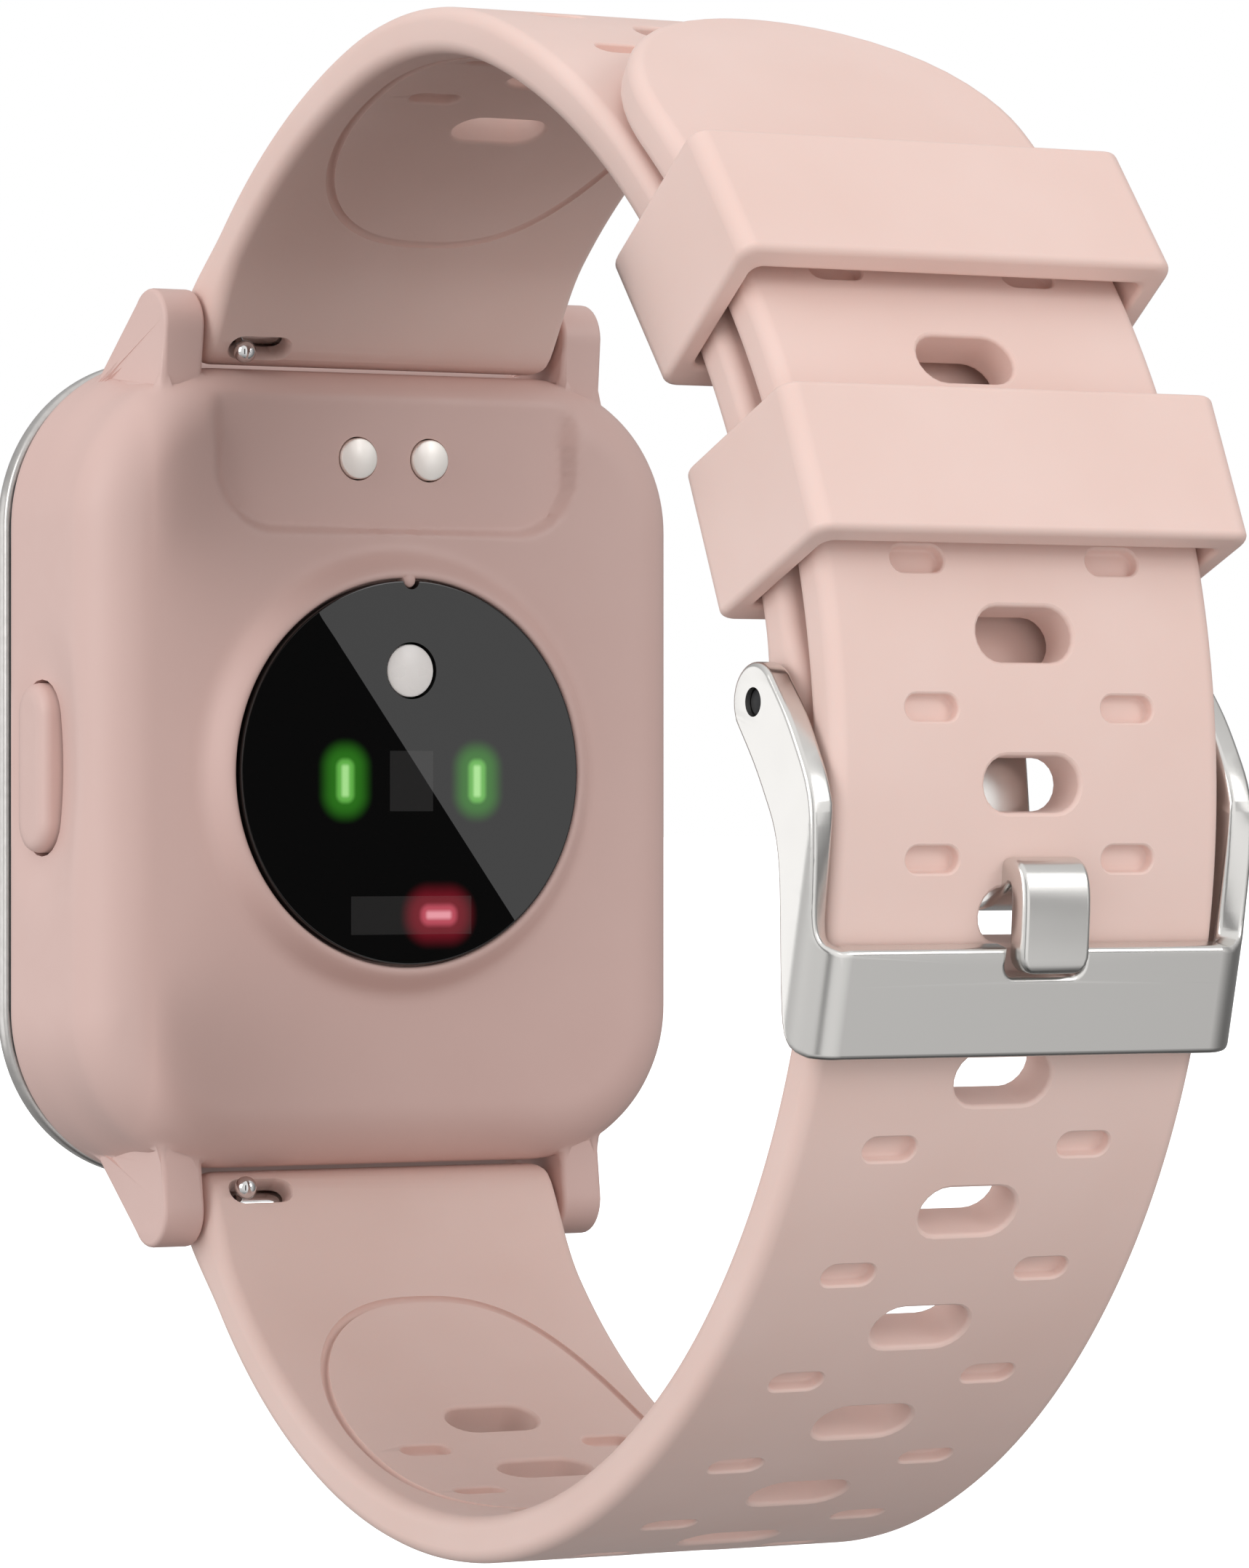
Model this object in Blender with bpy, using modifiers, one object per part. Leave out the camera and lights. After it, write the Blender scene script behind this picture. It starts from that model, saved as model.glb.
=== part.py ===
"""A fitness tracker on its silicone band, buckled as on a wrist.

Axes: +Z is twelve o'clock, +X is the button's side, and +Y points from the case through the wrist to the buckle.
The origin is the middle of the wrist loop. Every length is in metres.
"""

from math import cos, pi, radians, sin, sqrt

import bmesh
import bpy
from mathutils import Matrix, Vector

# Case: a rounded slab that lies across the loop at negative Y.
CASE_WIDTH = 0.0366
CASE_HEIGHT = 0.0434
CASE_CORNER = 0.0085
CASE_BACK_Y = -0.0227
CASE_BACK_EDGE = 0.0033
CASE_WALL = 0.0013
COVER_FRONT_Y = -0.0335
SEAL_Y = (-0.0339, -0.0336)
FRAME_Y = (-0.0352, -0.0340)
FRAME_BAND = 0.0013
GLASS_Y = (-0.0355, -0.0346)
FIT_GAP = 0.0002

# Lugs and the spring bars between them.
BAR_Y = -0.0260
BAR_Z = 0.0239
LUG_INNER_X = 0.0112
LUG_THICKNESS = 0.0021
LUG_RADIUS = 0.0020
LUG_FOOT_Y = -0.0325
LUG_FOOT_Z = 0.0199
TUBE_RADIUS = 0.0008
TUBE_BORE = 0.00056
TUBE_HALF = 0.0104
TIP_RADIUS = 0.00042
TIP_REACH = 0.0122
LUG_HOLE_RADIUS = 0.0006
LUG_HOLE_END = 0.0126
KNOB_X = 0.0087
KNOB_RADIUS = 0.00058
KNOB_REACH = 0.00225
KNOB_SLOT_X = (0.0059, 0.0094)
KNOB_SLOT_WIDTH = 0.00128
RELEASE_INNER_X = 0.0064
SPRING_X = (0.0005, 0.0062)

# Bands: each runs from its bar along arcs of (radius, degrees); its heading is counted from straight out.
BAND_THICKNESS = 0.0024
BAND_WIDTH = 0.0220
BAND_ROOT_RADIUS = 0.0020
BAND_SWELL_LENGTH = 0.0060
SHORT_HEADING = 37.3
SHORT_ARCS = ((0.0367, 34.1), (0.0231, 37.8), (0.0422, 62.2))
SHORT_END_RADIUS = 0.0015
LONG_HEADING = 31.9
LONG_ARCS = ((0.0327, 83.4), (0.0387, 100.4), (0.0490, 28.0))
BAR_BORE_RADIUS = 0.00095

# Holes along each band: rows of through slots, each row as (first, pitch, count).
HOLE_SIZE = (0.0055, 0.0030)
SHORT_HOLE_ROW = (0.0178, 0.00660, 6)
LONG_CASE_ROW = (0.0178, 0.00625, 5)
LONG_MIDDLE_ROW = (0.04975, 0.00695, 5)
LONG_TIP_ROW = (0.09145, 0.00695, 5)
TONGUE_HOLE_AT = 0.0854

# Buckle: a pin through the short band's end, a bent-up frame and a tongue.
PIN_RADIUS = 0.00065
PIN_HALF = 0.0119
PIN_BORE = 0.0008
BUCKLE_INNER_X = 0.0112
BUCKLE_OUTER_X = 0.0126
BUCKLE_CORNER = 0.0021
ARM_END_RADIUS = 0.0019
BAR_TOP_YZ = (0.03985, -0.0088)
BAR_BOTTOM_YZ = (0.03860, -0.01400)
CROSSBAR_THICKNESS = 0.0013
NOTCH_WIDTH = 0.0044
NOTCH_DEPTH = 0.0014
TONGUE_WIDTH = 0.0036
TONGUE_THICKNESS = 0.0013
TONGUE_SLOT = 0.0043

# Keepers: two loops round both bands, each placed by its own direction from the loop's middle.
KEEPER_HEIGHT = 0.0078
KEEPER_WIDTH = 0.0248
KEEPER_WALL = (0.0012, 0.0015)
KEEPER_CORNER = 0.0010
UPPER_KEEPER = {"angle": 38.5, "along": 0.0022, "inner": 0.0311, "outer": 0.0412}
LOWER_KEEPER = {"angle": 24.0, "along": -0.0024, "inner": 0.0306, "outer": 0.0408}

# Back of the case.
WINDOW_Z = -0.00025
WINDOW_RADIUS = 0.01045
WINDOW_Y = (-0.02215, -0.02128)
RING_RADII = (0.0121, 0.0109)
RING_TOP_Y = -0.0215
LEDGE_RADIUS = 0.0097
SENSOR_BOARD_Y = (-0.0237, -0.0232)
LAMP_Y = (-0.0231, -0.0223)
LAMP_ROW_Z = -0.0007
GREEN_LAMP_X = 0.0041
GREEN_LAMP_SIZE = (0.0016, 0.0033)
DIODE_SIZE = (0.0027, 0.0033)
RED_LAMP_Z = -0.0080
RED_LAMP_SIZE = (0.0075, 0.0021)
DOT_Z = 0.0053
DOT_RADIUS = 0.00145
CONTACT_X = 0.00222
CONTACT_Z = 0.01686
CONTACT_RADIUS = 0.00112
CONTACT_Y = (-0.0249, -0.02286)
PAD_HALF_WIDTH = 0.0109
PAD_BOTTOM_Z = 0.0129
PAD_FLOOR_Y = -0.0231
PAD_CORNER = 0.0030
BUTTON_Y = -0.0302
BUTTON_SIZE = (0.0034, 0.0092)
BUTTON_X = (0.0166, 0.01875)
SWITCH_X = (0.0150, 0.0161)
SCOOP_REACH = (0.0011, 0.0042, 0.0080)
BUTTON_CLEARANCE = (0.0006, 0.0054)

# Inside the case.
PANEL_SIZE = (0.0322, 0.0390)
PANEL_Y = (-0.0342, -0.0328)
PANEL_CORNER = 0.0065
INNER_FRAME_SIZE = (0.0330, 0.0398)
INNER_FRAME_Y = (-0.0316, -0.0308)
INNER_FRAME_CUT_Y = (-0.0330, -0.0300)
BOARD_BOX = ((-0.0118, 0.0118), (-0.0302, -0.0294), (0.0030, 0.0190))
BATTERY_BOX = ((-0.0120, 0.0120), (-0.0303, -0.0262), (-0.0185, 0.0020))
MOTOR_XZ = (-0.0075, 0.0105)
MOTOR_Y = (-0.0292, -0.0266)
MOTOR_RADIUS = 0.0040
MAGNET_X = 0.0068
MAGNET_HALF_WIDTH = 0.0022
MAGNET_YZ = ((-0.0254, -0.0242), (0.0156, 0.0180))
POST_XZ = (0.0139, 0.0166)
POST_RADIUS = 0.0013
POST_FRONT_Y = -0.0303
SCREW_HOLE_RADIUS = 0.0006
SCREW_RADIUS = 0.00045
SCREW_HEAD_RADIUS = 0.0009
SCREW_Y = (-0.0255, -0.03175, -0.0323)

PARTS = "fitness_tracker_band"
CUTTERS = "cutters"


# --- Scene and materials -------------------------------------------------------------------------


def clear_scene():
    for obj in list(bpy.data.objects):
        bpy.data.objects.remove(obj, do_unlink=True)


def add_collection(name):
    collection = bpy.data.collections.new(name)
    bpy.context.scene.collection.children.link(collection)
    return collection


def linear(channel):
    return channel / 12.92 if channel <= 0.04045 else ((channel + 0.055) / 1.055) ** 2.4


def add_material(name, hex_colour, roughness, metallic=0.0):
    """A Principled material from an sRGB colour such as EFD1C9."""
    material = bpy.data.materials.new(name)
    material.use_nodes = True
    shader = material.node_tree.nodes["Principled BSDF"]
    rgb = [linear(int(hex_colour[i : i + 2], 16) / 255) for i in (0, 2, 4)]
    shader.inputs["Base Color"].default_value = (*rgb, 1.0)
    shader.inputs["Roughness"].default_value = roughness
    shader.inputs["Metallic"].default_value = metallic
    material.diffuse_color = (*rgb, 1.0)
    return material


# --- Shapes --------------------------------------------------------------------------------------


def add_object(name, bm, colour=None, origin=(0, 0, 0)):
    """Makes the object from a mesh drawn in world places. A piece without a colour is a cutter or a helper."""
    bmesh.ops.recalc_face_normals(bm, faces=bm.faces)
    bmesh.ops.translate(bm, verts=bm.verts, vec=-Vector(origin))
    mesh = bpy.data.meshes.new(name)
    bm.to_mesh(mesh)
    bm.free()
    obj = bpy.data.objects.new(name, mesh)
    obj.location = origin
    if colour is None:
        bpy.data.collections[CUTTERS].objects.link(obj)
        obj.hide_render = True
        obj.display_type = "WIRE"
        return obj
    bpy.data.collections[PARTS].objects.link(obj)
    mesh.materials.append(COLOURS[colour])
    mesh.shade_smooth()
    mesh.set_sharp_from_angle(angle=radians(35))
    return obj


def block_mesh(x, y, z, corner=0.0, segments=3, corner_axis=None):
    """A box between pairs of limits. corner rounds the edges along corner_axis, or all of them."""
    bm = bmesh.new()
    centre = [(low + high) / 2 for low, high in (x, y, z)]
    size = [high - low for low, high in (x, y, z)]
    bmesh.ops.create_cube(bm, size=1.0, matrix=Matrix.Translation(centre) @ Matrix.Diagonal((*size, 1)))
    if corner:
        edges = bm.edges[:]
        if corner_axis is not None:
            edges = [e for e in edges if abs((e.verts[0].co - e.verts[1].co)[corner_axis]) > 1e-6]
        bmesh.ops.bevel(bm, geom=edges, offset=corner, segments=segments, profile=0.5, affect="EDGES")
    return bm


def slab_mesh(width, height, y, corner, back_edge=0.0, segments=6):
    """A rounded slab that faces along Y, with its far edge rounded too when back_edge is given."""
    bm = block_mesh((-width / 2, width / 2), y, (-height / 2, height / 2), corner, segments, 1)
    if back_edge:
        rim = [e for e in bm.edges if all(abs(v.co.y - y[1]) < 1e-6 for v in e.verts)]
        bmesh.ops.bevel(bm, geom=rim, offset=back_edge, segments=4, profile=0.5, affect="EDGES")
    return bm


def rod_mesh(start, end, radius, end_radius=None, segments=16):
    """A cylinder or a cone between two points."""
    start, end = Vector(start), Vector(end)
    bm = bmesh.new()
    turn = Vector((0, 0, 1)).rotation_difference(end - start).to_matrix().to_4x4()
    bmesh.ops.create_cone(
        bm,
        cap_ends=True,
        segments=segments,
        radius1=radius,
        radius2=radius if end_radius is None else end_radius,
        depth=(end - start).length,
        matrix=Matrix.Translation((start + end) / 2) @ turn,
    )
    return bm


def ball_mesh(centre, reach, segments=14):
    """A sphere, or an ellipsoid with three reaches."""
    bm = bmesh.new()
    scale = Matrix.Diagonal((*reach, 1)) if isinstance(reach, tuple) else Matrix.Scale(reach, 4)
    placed = Matrix.Translation(centre) @ scale
    bmesh.ops.create_uvsphere(bm, u_segments=segments, v_segments=segments // 2 + 1, radius=1, matrix=placed)
    return bm


def loft_mesh(rings):
    """A closed skin over rings that have the same number of points."""
    bm = bmesh.new()
    rows = [[bm.verts.new(point) for point in ring] for ring in rings]
    for low, high in zip(rows, rows[1:]):
        for i in range(len(low)):
            j = (i + 1) % len(low)
            bm.faces.new((low[i], low[j], high[j], high[i]))
    bm.faces.new(rows[0])
    bm.faces.new(rows[-1])
    return bm


def plate(name, outline, x, colour=None, origin=(0, 0, 0)):
    """A flat piece: an outline of (Y, Z) points, filled and extruded across X."""
    curve = bpy.data.curves.new(name + "_outline", "CURVE")
    curve.dimensions = "2D"
    curve.fill_mode = "BOTH"
    curve.extrude = (x[1] - x[0]) / 2
    spline = curve.splines.new("POLY")
    spline.points.add(len(outline) - 1)
    for point, (across, up) in zip(spline.points, outline):
        point.co = (across, up, 0, 1)
    spline.use_cyclic_u = True
    flat = bpy.data.objects.new(name + "_outline", curve)
    bpy.context.scene.collection.objects.link(flat)
    bpy.context.view_layer.update()
    mesh = bpy.data.meshes.new_from_object(flat.evaluated_get(bpy.context.evaluated_depsgraph_get()))
    bm = bmesh.new()
    bm.from_mesh(mesh)
    bmesh.ops.remove_doubles(bm, verts=bm.verts, dist=1e-6)
    # The curve's own X, Y and Z become the piece's Y, Z and X.
    stand = Matrix(((0, 0, 1, (x[0] + x[1]) / 2), (1, 0, 0, 0), (0, 1, 0, 0), (0, 0, 0, 1)))
    bmesh.ops.transform(bm, matrix=stand, verts=bm.verts)
    bpy.data.objects.remove(flat, do_unlink=True)
    return add_object(name, bm, colour, origin)


def carve(target, tool, operation="DIFFERENCE"):
    modifier = target.modifiers.new(operation.lower() + "_" + tool.name, "BOOLEAN")
    modifier.operation = operation
    modifier.solver = "EXACT"
    modifier.object = tool


def merged(meshes):
    """Several drawn shapes that don't touch, as one cutter's mesh."""
    whole = bmesh.new()
    for bm in meshes:
        part = bpy.data.meshes.new("part")
        bmesh.ops.recalc_face_normals(bm, faces=bm.faces)
        bm.to_mesh(part)
        bm.free()
        whole.from_mesh(part)
        bpy.data.meshes.remove(part)
    return whole


# --- Band paths ----------------------------------------------------------------------------------


def band_path(side, heading, arcs, spacing=0.0025):
    """Stations along a band: (length so far, point, direction, outward), from its bar to its end.

    side is 1 for the upper band and -1 for the lower one, which is its mirror image in Z.
    """
    turned = radians(heading)
    point = Vector((0, BAR_Y, BAR_Z))
    length = 0.0
    stations = []
    for radius, degrees in arcs:
        steps = max(2, round(radius * radians(degrees) / spacing))
        turn = radians(degrees) / steps
        for _ in range(steps):
            stations.append((length, point.copy(), turned))
            chord = 2 * radius * sin(turn / 2)
            point += chord * Vector((0, sin(turned + turn / 2), cos(turned + turn / 2)))
            turned += turn
            length += radius * turn
    stations.append((length, point.copy(), turned))
    return [
        (
            at,
            Vector((0, place.y, side * place.z)),
            Vector((0, sin(angle), side * cos(angle))),
            Vector((0, -cos(angle), side * sin(angle))),
        )
        for at, place, angle in stations
    ]


def along_path(path, at):
    """The point, direction and outward normal at a length along the path. Past an end it runs straight."""
    if at <= 0:
        _, point, direction, outward = path[0]
        return point + direction * at, direction, outward
    for (low, a, da, oa), (high, b, db, ob) in zip(path, path[1:]):
        if at <= high:
            t = (at - low) / (high - low)
            # The chord is lifted to the arc, so that points between stations lie on it too.
            lift = (high - low) * da.angle(db) / 2 * t * (1 - t)
            direction = da.lerp(db, t).normalized()
            outward = oa.lerp(ob, t).normalized()
            return a.lerp(b, t) + outward * lift, direction, outward
    last, point, direction, outward = path[-1]
    return point + direction * (at - last), direction, outward


def pin_place():
    """The buckle pin's (Y, Z): the end of the short band."""
    point = band_path(1, SHORT_HEADING, SHORT_ARCS)[-1][1]
    return point.y, point.z


def smooth(t):
    t = min(max(t, 0.0), 1.0)
    return t * t * (3 - 2 * t)


def section_ring(point, outward, half_width, half_thickness, edge=0.0005):
    """Eight points of a flat section with bevelled corners."""
    edge = min(edge, half_thickness * 0.6, half_width * 0.6)
    corners = (
        (half_width - edge, half_thickness),
        (-half_width + edge, half_thickness),
        (-half_width, half_thickness - edge),
        (-half_width, edge - half_thickness),
        (edge - half_width, -half_thickness),
        (half_width - edge, -half_thickness),
        (half_width, edge - half_thickness),
        (half_width, half_thickness - edge),
    )
    return [point + Vector((x, 0, 0)) + outward * out for x, out in corners]


def round_end(radius, ends=(0.97, 0.8, 0.45)):
    """Distances before a round end's centre, with the half thickness at each."""
    return [(part * radius, radius * sqrt(1 - part * part)) for part in ends]


def root_rings(path):
    """Sections of the round end at the bar and of the swelling after it."""
    half = BAND_THICKNESS / 2
    rings = []
    for before, thick in round_end(BAND_ROOT_RADIUS):
        point, _, outward = along_path(path, -before)
        rings.append(section_ring(point, outward, BAND_WIDTH / 2, thick))
    for at in (0.0, 0.0015, 0.0030, 0.0045):
        point, _, outward = along_path(path, at)
        thick = BAND_ROOT_RADIUS + (half - BAND_ROOT_RADIUS) * smooth(at / BAND_SWELL_LENGTH)
        rings.append(section_ring(point, outward, BAND_WIDTH / 2, thick))
    return rings


def slot_mesh(path, at, size, reach, x=0.0):
    """A slot with round ends that runs along X, cut along the band's thickness between two reaches."""
    point, direction, outward = along_path(path, at)
    bm = block_mesh(
        (x - size[0] / 2, x + size[0] / 2), reach, (-size[1] / 2, size[1] / 2), size[1] * 0.499, 3, 1
    )
    turn = Matrix((Vector((1, 0, 0)), outward, direction)).transposed().to_4x4()
    bmesh.ops.transform(bm, matrix=Matrix.Translation(point) @ turn, verts=bm.verts)
    return bm


# --- Case ----------------------------------------------------------------------------------------


def make_rear_cover():
    cover = add_object(
        "rear_cover",
        slab_mesh(CASE_WIDTH, CASE_HEIGHT, (COVER_FRONT_Y, CASE_BACK_Y), CASE_CORNER, CASE_BACK_EDGE),
        "cover_pink",
    )
    for side in (1, -1):
        for end in (1, -1):
            carve(cover, make_lug(side, end), "UNION")
    ring = rod_mesh((0, CASE_BACK_Y - 0.0005, WINDOW_Z), (0, RING_TOP_Y, WINDOW_Z), *RING_RADII, 48)
    carve(cover, add_object("ring_boss", ring), "UNION")
    carve(cover, add_object("cover_cavity", cavity_mesh()))
    for index, (x, z) in enumerate(post_places()):
        post = rod_mesh((x, POST_FRONT_Y, z), (x, CASE_BACK_Y - CASE_WALL / 2, z), POST_RADIUS, segments=12)
        carve(cover, add_object(f"post_{index + 1}", post), "UNION")
    for cutter in (window_seat(), pad_recess(), cover_holes(), button_scoop()):
        carve(cover, cutter)


def make_lug(side, end):
    """One of the four ears: side is its X side and end its Z end."""
    tip = [
        (BAR_Y + LUG_RADIUS * cos(radians(a)), BAR_Z + LUG_RADIUS * sin(radians(a)))
        for a in range(-10, 141, 25)
    ]
    foot = [(LUG_FOOT_Y, LUG_FOOT_Z + 0.0009), (LUG_FOOT_Y, LUG_FOOT_Z), (CASE_BACK_Y - 0.0016, LUG_FOOT_Z)]
    outline = [(y, z * end) for y, z in tip + foot]
    x = sorted((side * LUG_INNER_X, side * (LUG_INNER_X + LUG_THICKNESS)))
    return plate(f"lug_{'right' if side > 0 else 'left'}_{'upper' if end > 0 else 'lower'}", outline, x)


def cavity_mesh():
    return slab_mesh(
        CASE_WIDTH - 2 * CASE_WALL,
        CASE_HEIGHT - 2 * CASE_WALL,
        (COVER_FRONT_Y - 0.002, CASE_BACK_Y - CASE_WALL),
        CASE_CORNER - CASE_WALL,
        CASE_BACK_EDGE - CASE_WALL,
    )


def post_places():
    return [(x * POST_XZ[0], z * POST_XZ[1]) for x in (1, -1) for z in (1, -1)]


def window_seat():
    """The stepped hole that takes the sensor window: a wide seat over a narrower opening."""
    seat = add_object(
        "window_seat",
        rod_mesh((0, WINDOW_Y[0] - 0.0001, WINDOW_Z), (0, -0.02, WINDOW_Z), WINDOW_RADIUS + 0.0001, segments=48),
    )
    opening = rod_mesh((0, -0.026, WINDOW_Z), (0, -0.021, WINDOW_Z), LEDGE_RADIUS, segments=48)
    carve(seat, add_object("window_opening", opening), "UNION")
    return seat


def pad_recess():
    top = CASE_HEIGHT / 2 + 0.004
    bm = block_mesh(
        (-PAD_HALF_WIDTH, PAD_HALF_WIDTH), (PAD_FLOOR_Y, -0.02), (PAD_BOTTOM_Z, top), PAD_CORNER, 4, 1
    )
    return add_object("pad_recess", bm)


def cover_holes():
    """Holes for the contacts, the screws, the button and the tips of the spring bars."""
    shapes = []
    for x in (CONTACT_X, -CONTACT_X):
        hole = rod_mesh((x, -0.026, CONTACT_Z), (x, -0.021, CONTACT_Z), CONTACT_RADIUS + 0.0001)
        shapes.append(hole)
    for x, z in post_places():
        shapes.append(rod_mesh((x, -0.032, z), (x, -0.0250, z), SCREW_HOLE_RADIUS, segments=8))
    for end in (1, -1):
        for side in (1, -1):
            tip = [(side * x, BAR_Y, end * BAR_Z) for x in (LUG_INNER_X - 0.0005, LUG_HOLE_END)]
            shapes.append(rod_mesh(*tip, LUG_HOLE_RADIUS, segments=12))
    wide, tall = (size / 2 + FIT_GAP for size in BUTTON_SIZE)
    slot = block_mesh((0.0150, 0.0200), (BUTTON_Y - wide, BUTTON_Y + wide), (-tall, tall), wide * 0.9, 3, 0)
    shapes.append(slot)
    return add_object("cover_holes", merged(shapes))


def button_scoop():
    centre = (CASE_WIDTH / 2 + SCOOP_REACH[0] * 0.35, BUTTON_Y + 0.0012, 0)
    return add_object("button_scoop", ball_mesh(centre, SCOOP_REACH, 20))


def ring_slab(name, width, height, y, corner, band, colour):
    """A rounded rectangular ring of one band width."""
    outer = add_object(name, slab_mesh(width, height, y, corner), colour)
    hole = slab_mesh(
        width - 2 * band, height - 2 * band, (y[0] - 0.001, y[1] + 0.001), corner - band * 0.8
    )
    carve(outer, add_object(name + "_opening", hole))
    return outer


def make_front():
    ring_slab("front_frame", CASE_WIDTH, CASE_HEIGHT, FRAME_Y, CASE_CORNER, FRAME_BAND, "silver")
    ring_slab(
        "case_seal", CASE_WIDTH - 0.0004, CASE_HEIGHT - 0.0004, SEAL_Y, CASE_CORNER - 0.0002, 0.0009, "black"
    )
    inset = 2 * (FRAME_BAND + FIT_GAP)
    glass = slab_mesh(CASE_WIDTH - inset, CASE_HEIGHT - inset, GLASS_Y, CASE_CORNER - 0.0012)
    add_object("touch_glass", glass, "glass")
    add_object("display_panel", slab_mesh(*PANEL_SIZE, PANEL_Y, PANEL_CORNER), "display")
    frame = add_object(
        "inner_frame", slab_mesh(*INNER_FRAME_SIZE, INNER_FRAME_Y, PANEL_CORNER), "grey_plastic"
    )
    holes = [
        rod_mesh((x, INNER_FRAME_CUT_Y[0], z), (x, INNER_FRAME_CUT_Y[1], z), SCREW_HOLE_RADIUS, segments=8)
        for x, z in post_places()
    ]
    wide, tall = BUTTON_CLEARANCE
    holes.append(block_mesh((SWITCH_X[1] - wide, SWITCH_X[1] + 2 * wide), INNER_FRAME_CUT_Y, (-tall, tall)))
    carve(frame, add_object("inner_frame_holes", merged(holes)))


def make_insides():
    boxes = {
        "main_board": (*BOARD_BOX, "board_green"),
        "battery": (*BATTERY_BOX, "silver"),
        "button_switch": (SWITCH_X, (BUTTON_Y - 0.0003, BUTTON_Y + 0.0016), (-0.0018, 0.0018), "grey_plastic"),
    }
    for name, (x, y, z, colour) in boxes.items():
        add_object(name, block_mesh(x, y, z), colour)
    x, z = MOTOR_XZ
    motor = rod_mesh((x, MOTOR_Y[0], z), (x, MOTOR_Y[1], z), MOTOR_RADIUS, segments=20)
    add_object("vibration_motor", motor, "silver")
    for name, x in (("charger_magnet_right", MAGNET_X), ("charger_magnet_left", -MAGNET_X)):
        magnet = block_mesh((x - MAGNET_HALF_WIDTH, x + MAGNET_HALF_WIDTH), *MAGNET_YZ)
        add_object(name, magnet, "silver")
    for index, (x, z) in enumerate(post_places()):
        make_screw(f"case_screw_{index + 1}", x, z)


def make_screw(name, x, z):
    """A turned screw: head in front of the inner frame, shank in its post."""
    end, seat, head = SCREW_Y
    profile = ((0, end), (SCREW_RADIUS, end), (SCREW_RADIUS, seat), (SCREW_HEAD_RADIUS, seat),
               (SCREW_HEAD_RADIUS, head), (0, head))
    bm = bmesh.new()
    verts = [bm.verts.new((radius, y - end, 0)) for radius, y in profile]
    for a, b in zip(verts, verts[1:]):
        bm.edges.new((b, a))
    screw = add_object(name, bm, "steel")
    screw.location = (x, end, z)
    turned = screw.modifiers.new("turned", "SCREW")
    turned.axis = "Y"
    turned.steps = turned.render_steps = 12
    turned.use_merge_vertices = True
    turned.merge_threshold = 0.00001
    turned.use_normal_calculate = True
    turned.use_normal_flip = True


def make_sensor():
    window = add_object(
        "sensor_window",
        rod_mesh((0, WINDOW_Y[0], WINDOW_Z), (0, WINDOW_Y[1], WINDOW_Z), WINDOW_RADIUS, segments=48),
        "glass",
    )
    top = WINDOW_Z + WINDOW_RADIUS
    cuts = [
        rod_mesh((0, -0.024, DOT_Z), (0, -0.020, DOT_Z), DOT_RADIUS + 0.0001),
        rod_mesh((0, -0.024, top), (0, -0.020, top), 0.00045, segments=12),
    ]
    carve(window, add_object("window_cuts", merged(cuts)))
    board = rod_mesh((0, SENSOR_BOARD_Y[0], WINDOW_Z), (0, SENSOR_BOARD_Y[1], WINDOW_Z), 0.0094, segments=32)
    add_object("sensor_board", board, "board_green")
    lamps = {
        "green_lamp_right": (GREEN_LAMP_X, LAMP_ROW_Z, GREEN_LAMP_SIZE, "lamp_green"),
        "green_lamp_left": (-GREEN_LAMP_X, LAMP_ROW_Z, GREEN_LAMP_SIZE, "lamp_green"),
        "photodiode": (0, LAMP_ROW_Z, DIODE_SIZE, "display"),
        "red_lamp": (0, RED_LAMP_Z, RED_LAMP_SIZE, "lamp_red"),
    }
    for name, (x, z, size, colour) in lamps.items():
        lamp = block_mesh((x - size[0] / 2, x + size[0] / 2), LAMP_Y, (z - size[1] / 2, z + size[1] / 2))
        add_object(name, lamp, colour)
    dot = rod_mesh((0, LAMP_Y[0], DOT_Z), (0, WINDOW_Y[1] - 0.0001, DOT_Z), DOT_RADIUS, segments=20)
    add_object("temperature_sensor", dot, "ceramic_white")
    for name, x in (("charging_contact_right", CONTACT_X), ("charging_contact_left", -CONTACT_X)):
        contact = rod_mesh((x, CONTACT_Y[0], CONTACT_Z), (x, CONTACT_Y[1], CONTACT_Z), CONTACT_RADIUS)
        add_object(name, contact, "steel")


def make_button():
    wide, tall = (size / 2 for size in BUTTON_SIZE)
    bm = block_mesh(BUTTON_X, (BUTTON_Y - wide, BUTTON_Y + wide), (-tall, tall), wide * 0.9, 3, 0)
    face = [e for e in bm.edges if all(abs(v.co.x - BUTTON_X[1]) < 1e-6 for v in e.verts)]
    bmesh.ops.bevel(bm, geom=face, offset=0.0004, segments=2, profile=0.5, affect="EDGES")
    add_object("side_button", bm, "cover_pink", (BUTTON_X[0], BUTTON_Y, 0))


# --- Spring bars ---------------------------------------------------------------------------------


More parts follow.
